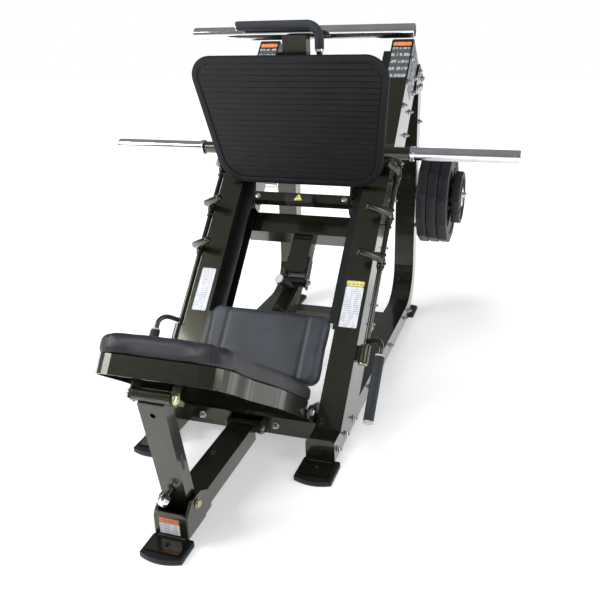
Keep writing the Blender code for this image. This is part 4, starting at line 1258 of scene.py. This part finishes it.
def make_world():
    """The sky lights and is mirrored as it is, but the camera sees plain white."""
    world = bpy.data.worlds.new("studio")
    bpy.context.scene.world = world
    world.use_nodes = True
    tree = world.node_tree
    tree.nodes.clear()
    seen = tree.nodes.new("ShaderNodeBackground")
    seen.inputs["Color"].default_value = (1, 1, 1, 1)
    lit = tree.nodes.new("ShaderNodeBackground")
    lit.inputs["Strength"].default_value = 0.8
    spot = tree.nodes.new("ShaderNodeTexCoord")
    split = tree.nodes.new("ShaderNodeSeparateXYZ")
    feed(split, "Vector", spot.outputs["Generated"])
    height = remap(tree, split.outputs["Z"], 0.0, 1.0, -0.2, 1.0)
    feed(lit, "Color", ramp(tree, height, SKY))
    path = tree.nodes.new("ShaderNodeLightPath")
    mix = tree.nodes.new("ShaderNodeMixShader")
    feed(mix, "Fac", path.outputs["Is Camera Ray"])
    feed(mix, 1, lit.outputs["Background"])
    feed(mix, 2, seen.outputs["Background"])
    feed(tree.nodes.new("ShaderNodeOutputWorld"), "Surface", mix.outputs["Shader"])


def softbox(name, spot, target, size, power, mirrored=True):
    light = bpy.data.lights.new(name, "AREA")
    light.shape = "RECTANGLE"
    light.size, light.size_y = size
    light.energy = power
    obj = bpy.data.objects.new(name, light)
    obj.location = spot
    obj.visible_glossy = mirrored
    obj.rotation_euler = (Vector(target) - Vector(spot)).to_track_quat("-Z", "Y").to_euler()
    bpy.context.scene.collection.objects.link(obj)


def make_lights():
    middle = (0, 0, 0.6)
    softbox("overhead", (-0.6, -0.4, 4.2), middle, (3.2, 2.6), 105, False)
    softbox("left_key", (-3.4, -2.2, 3.2), middle, (2.2, 2.2), 130)
    softbox("right_fill", (3.6, -1.2, 2.2), middle, (1.6, 2.4), 45)


def make_camera():
    """Stands to the front right at head height and looks down at the machine."""
    yaw, pitch, roll = radians(-18.8), radians(22.6), radians(-1.6)
    forward = Vector((sin(yaw) * cos(pitch), cos(yaw) * cos(pitch), -sin(pitch)))
    right = Vector((cos(yaw), -sin(yaw), 0))
    up = right.cross(forward)
    across = right * cos(roll) + up * sin(roll)
    above = up * cos(roll) - right * sin(roll)
    turned = Matrix((across, above, -forward)).transposed().to_4x4()
    camera = bpy.data.cameras.new("camera")
    camera.lens = 42.81
    camera.sensor_width = 36
    camera.shift_x = -0.0163
    camera.shift_y = 0.017
    camera.clip_end = 60
    obj = bpy.data.objects.new("camera", camera)
    obj.matrix_world = Matrix.Translation((0.947, HORN_Y - 2.759, 1.442)) @ turned
    bpy.context.scene.collection.objects.link(obj)
    bpy.context.scene.camera = obj
    bpy.context.scene.view_settings.view_transform = "Standard"


def main():
    make_camera()
    make_world()
    make_lights()
    make_stage()
    dress_frame()
    make_end_caps()
    make_gussets()
    make_rail_bolts()
    make_feet()
    make_labels()
    make_welds()
    make_storage()
    make_mat()
    make_horns()
    make_top_bar()
    make_carriage_trim()
    make_rollers()
    make_loading_handle()
    make_catches()
    make_shaft_bearings()
    make_seat()
    make_bench_pad()
    make_bench_trim()
    make_seat_lock()


main()
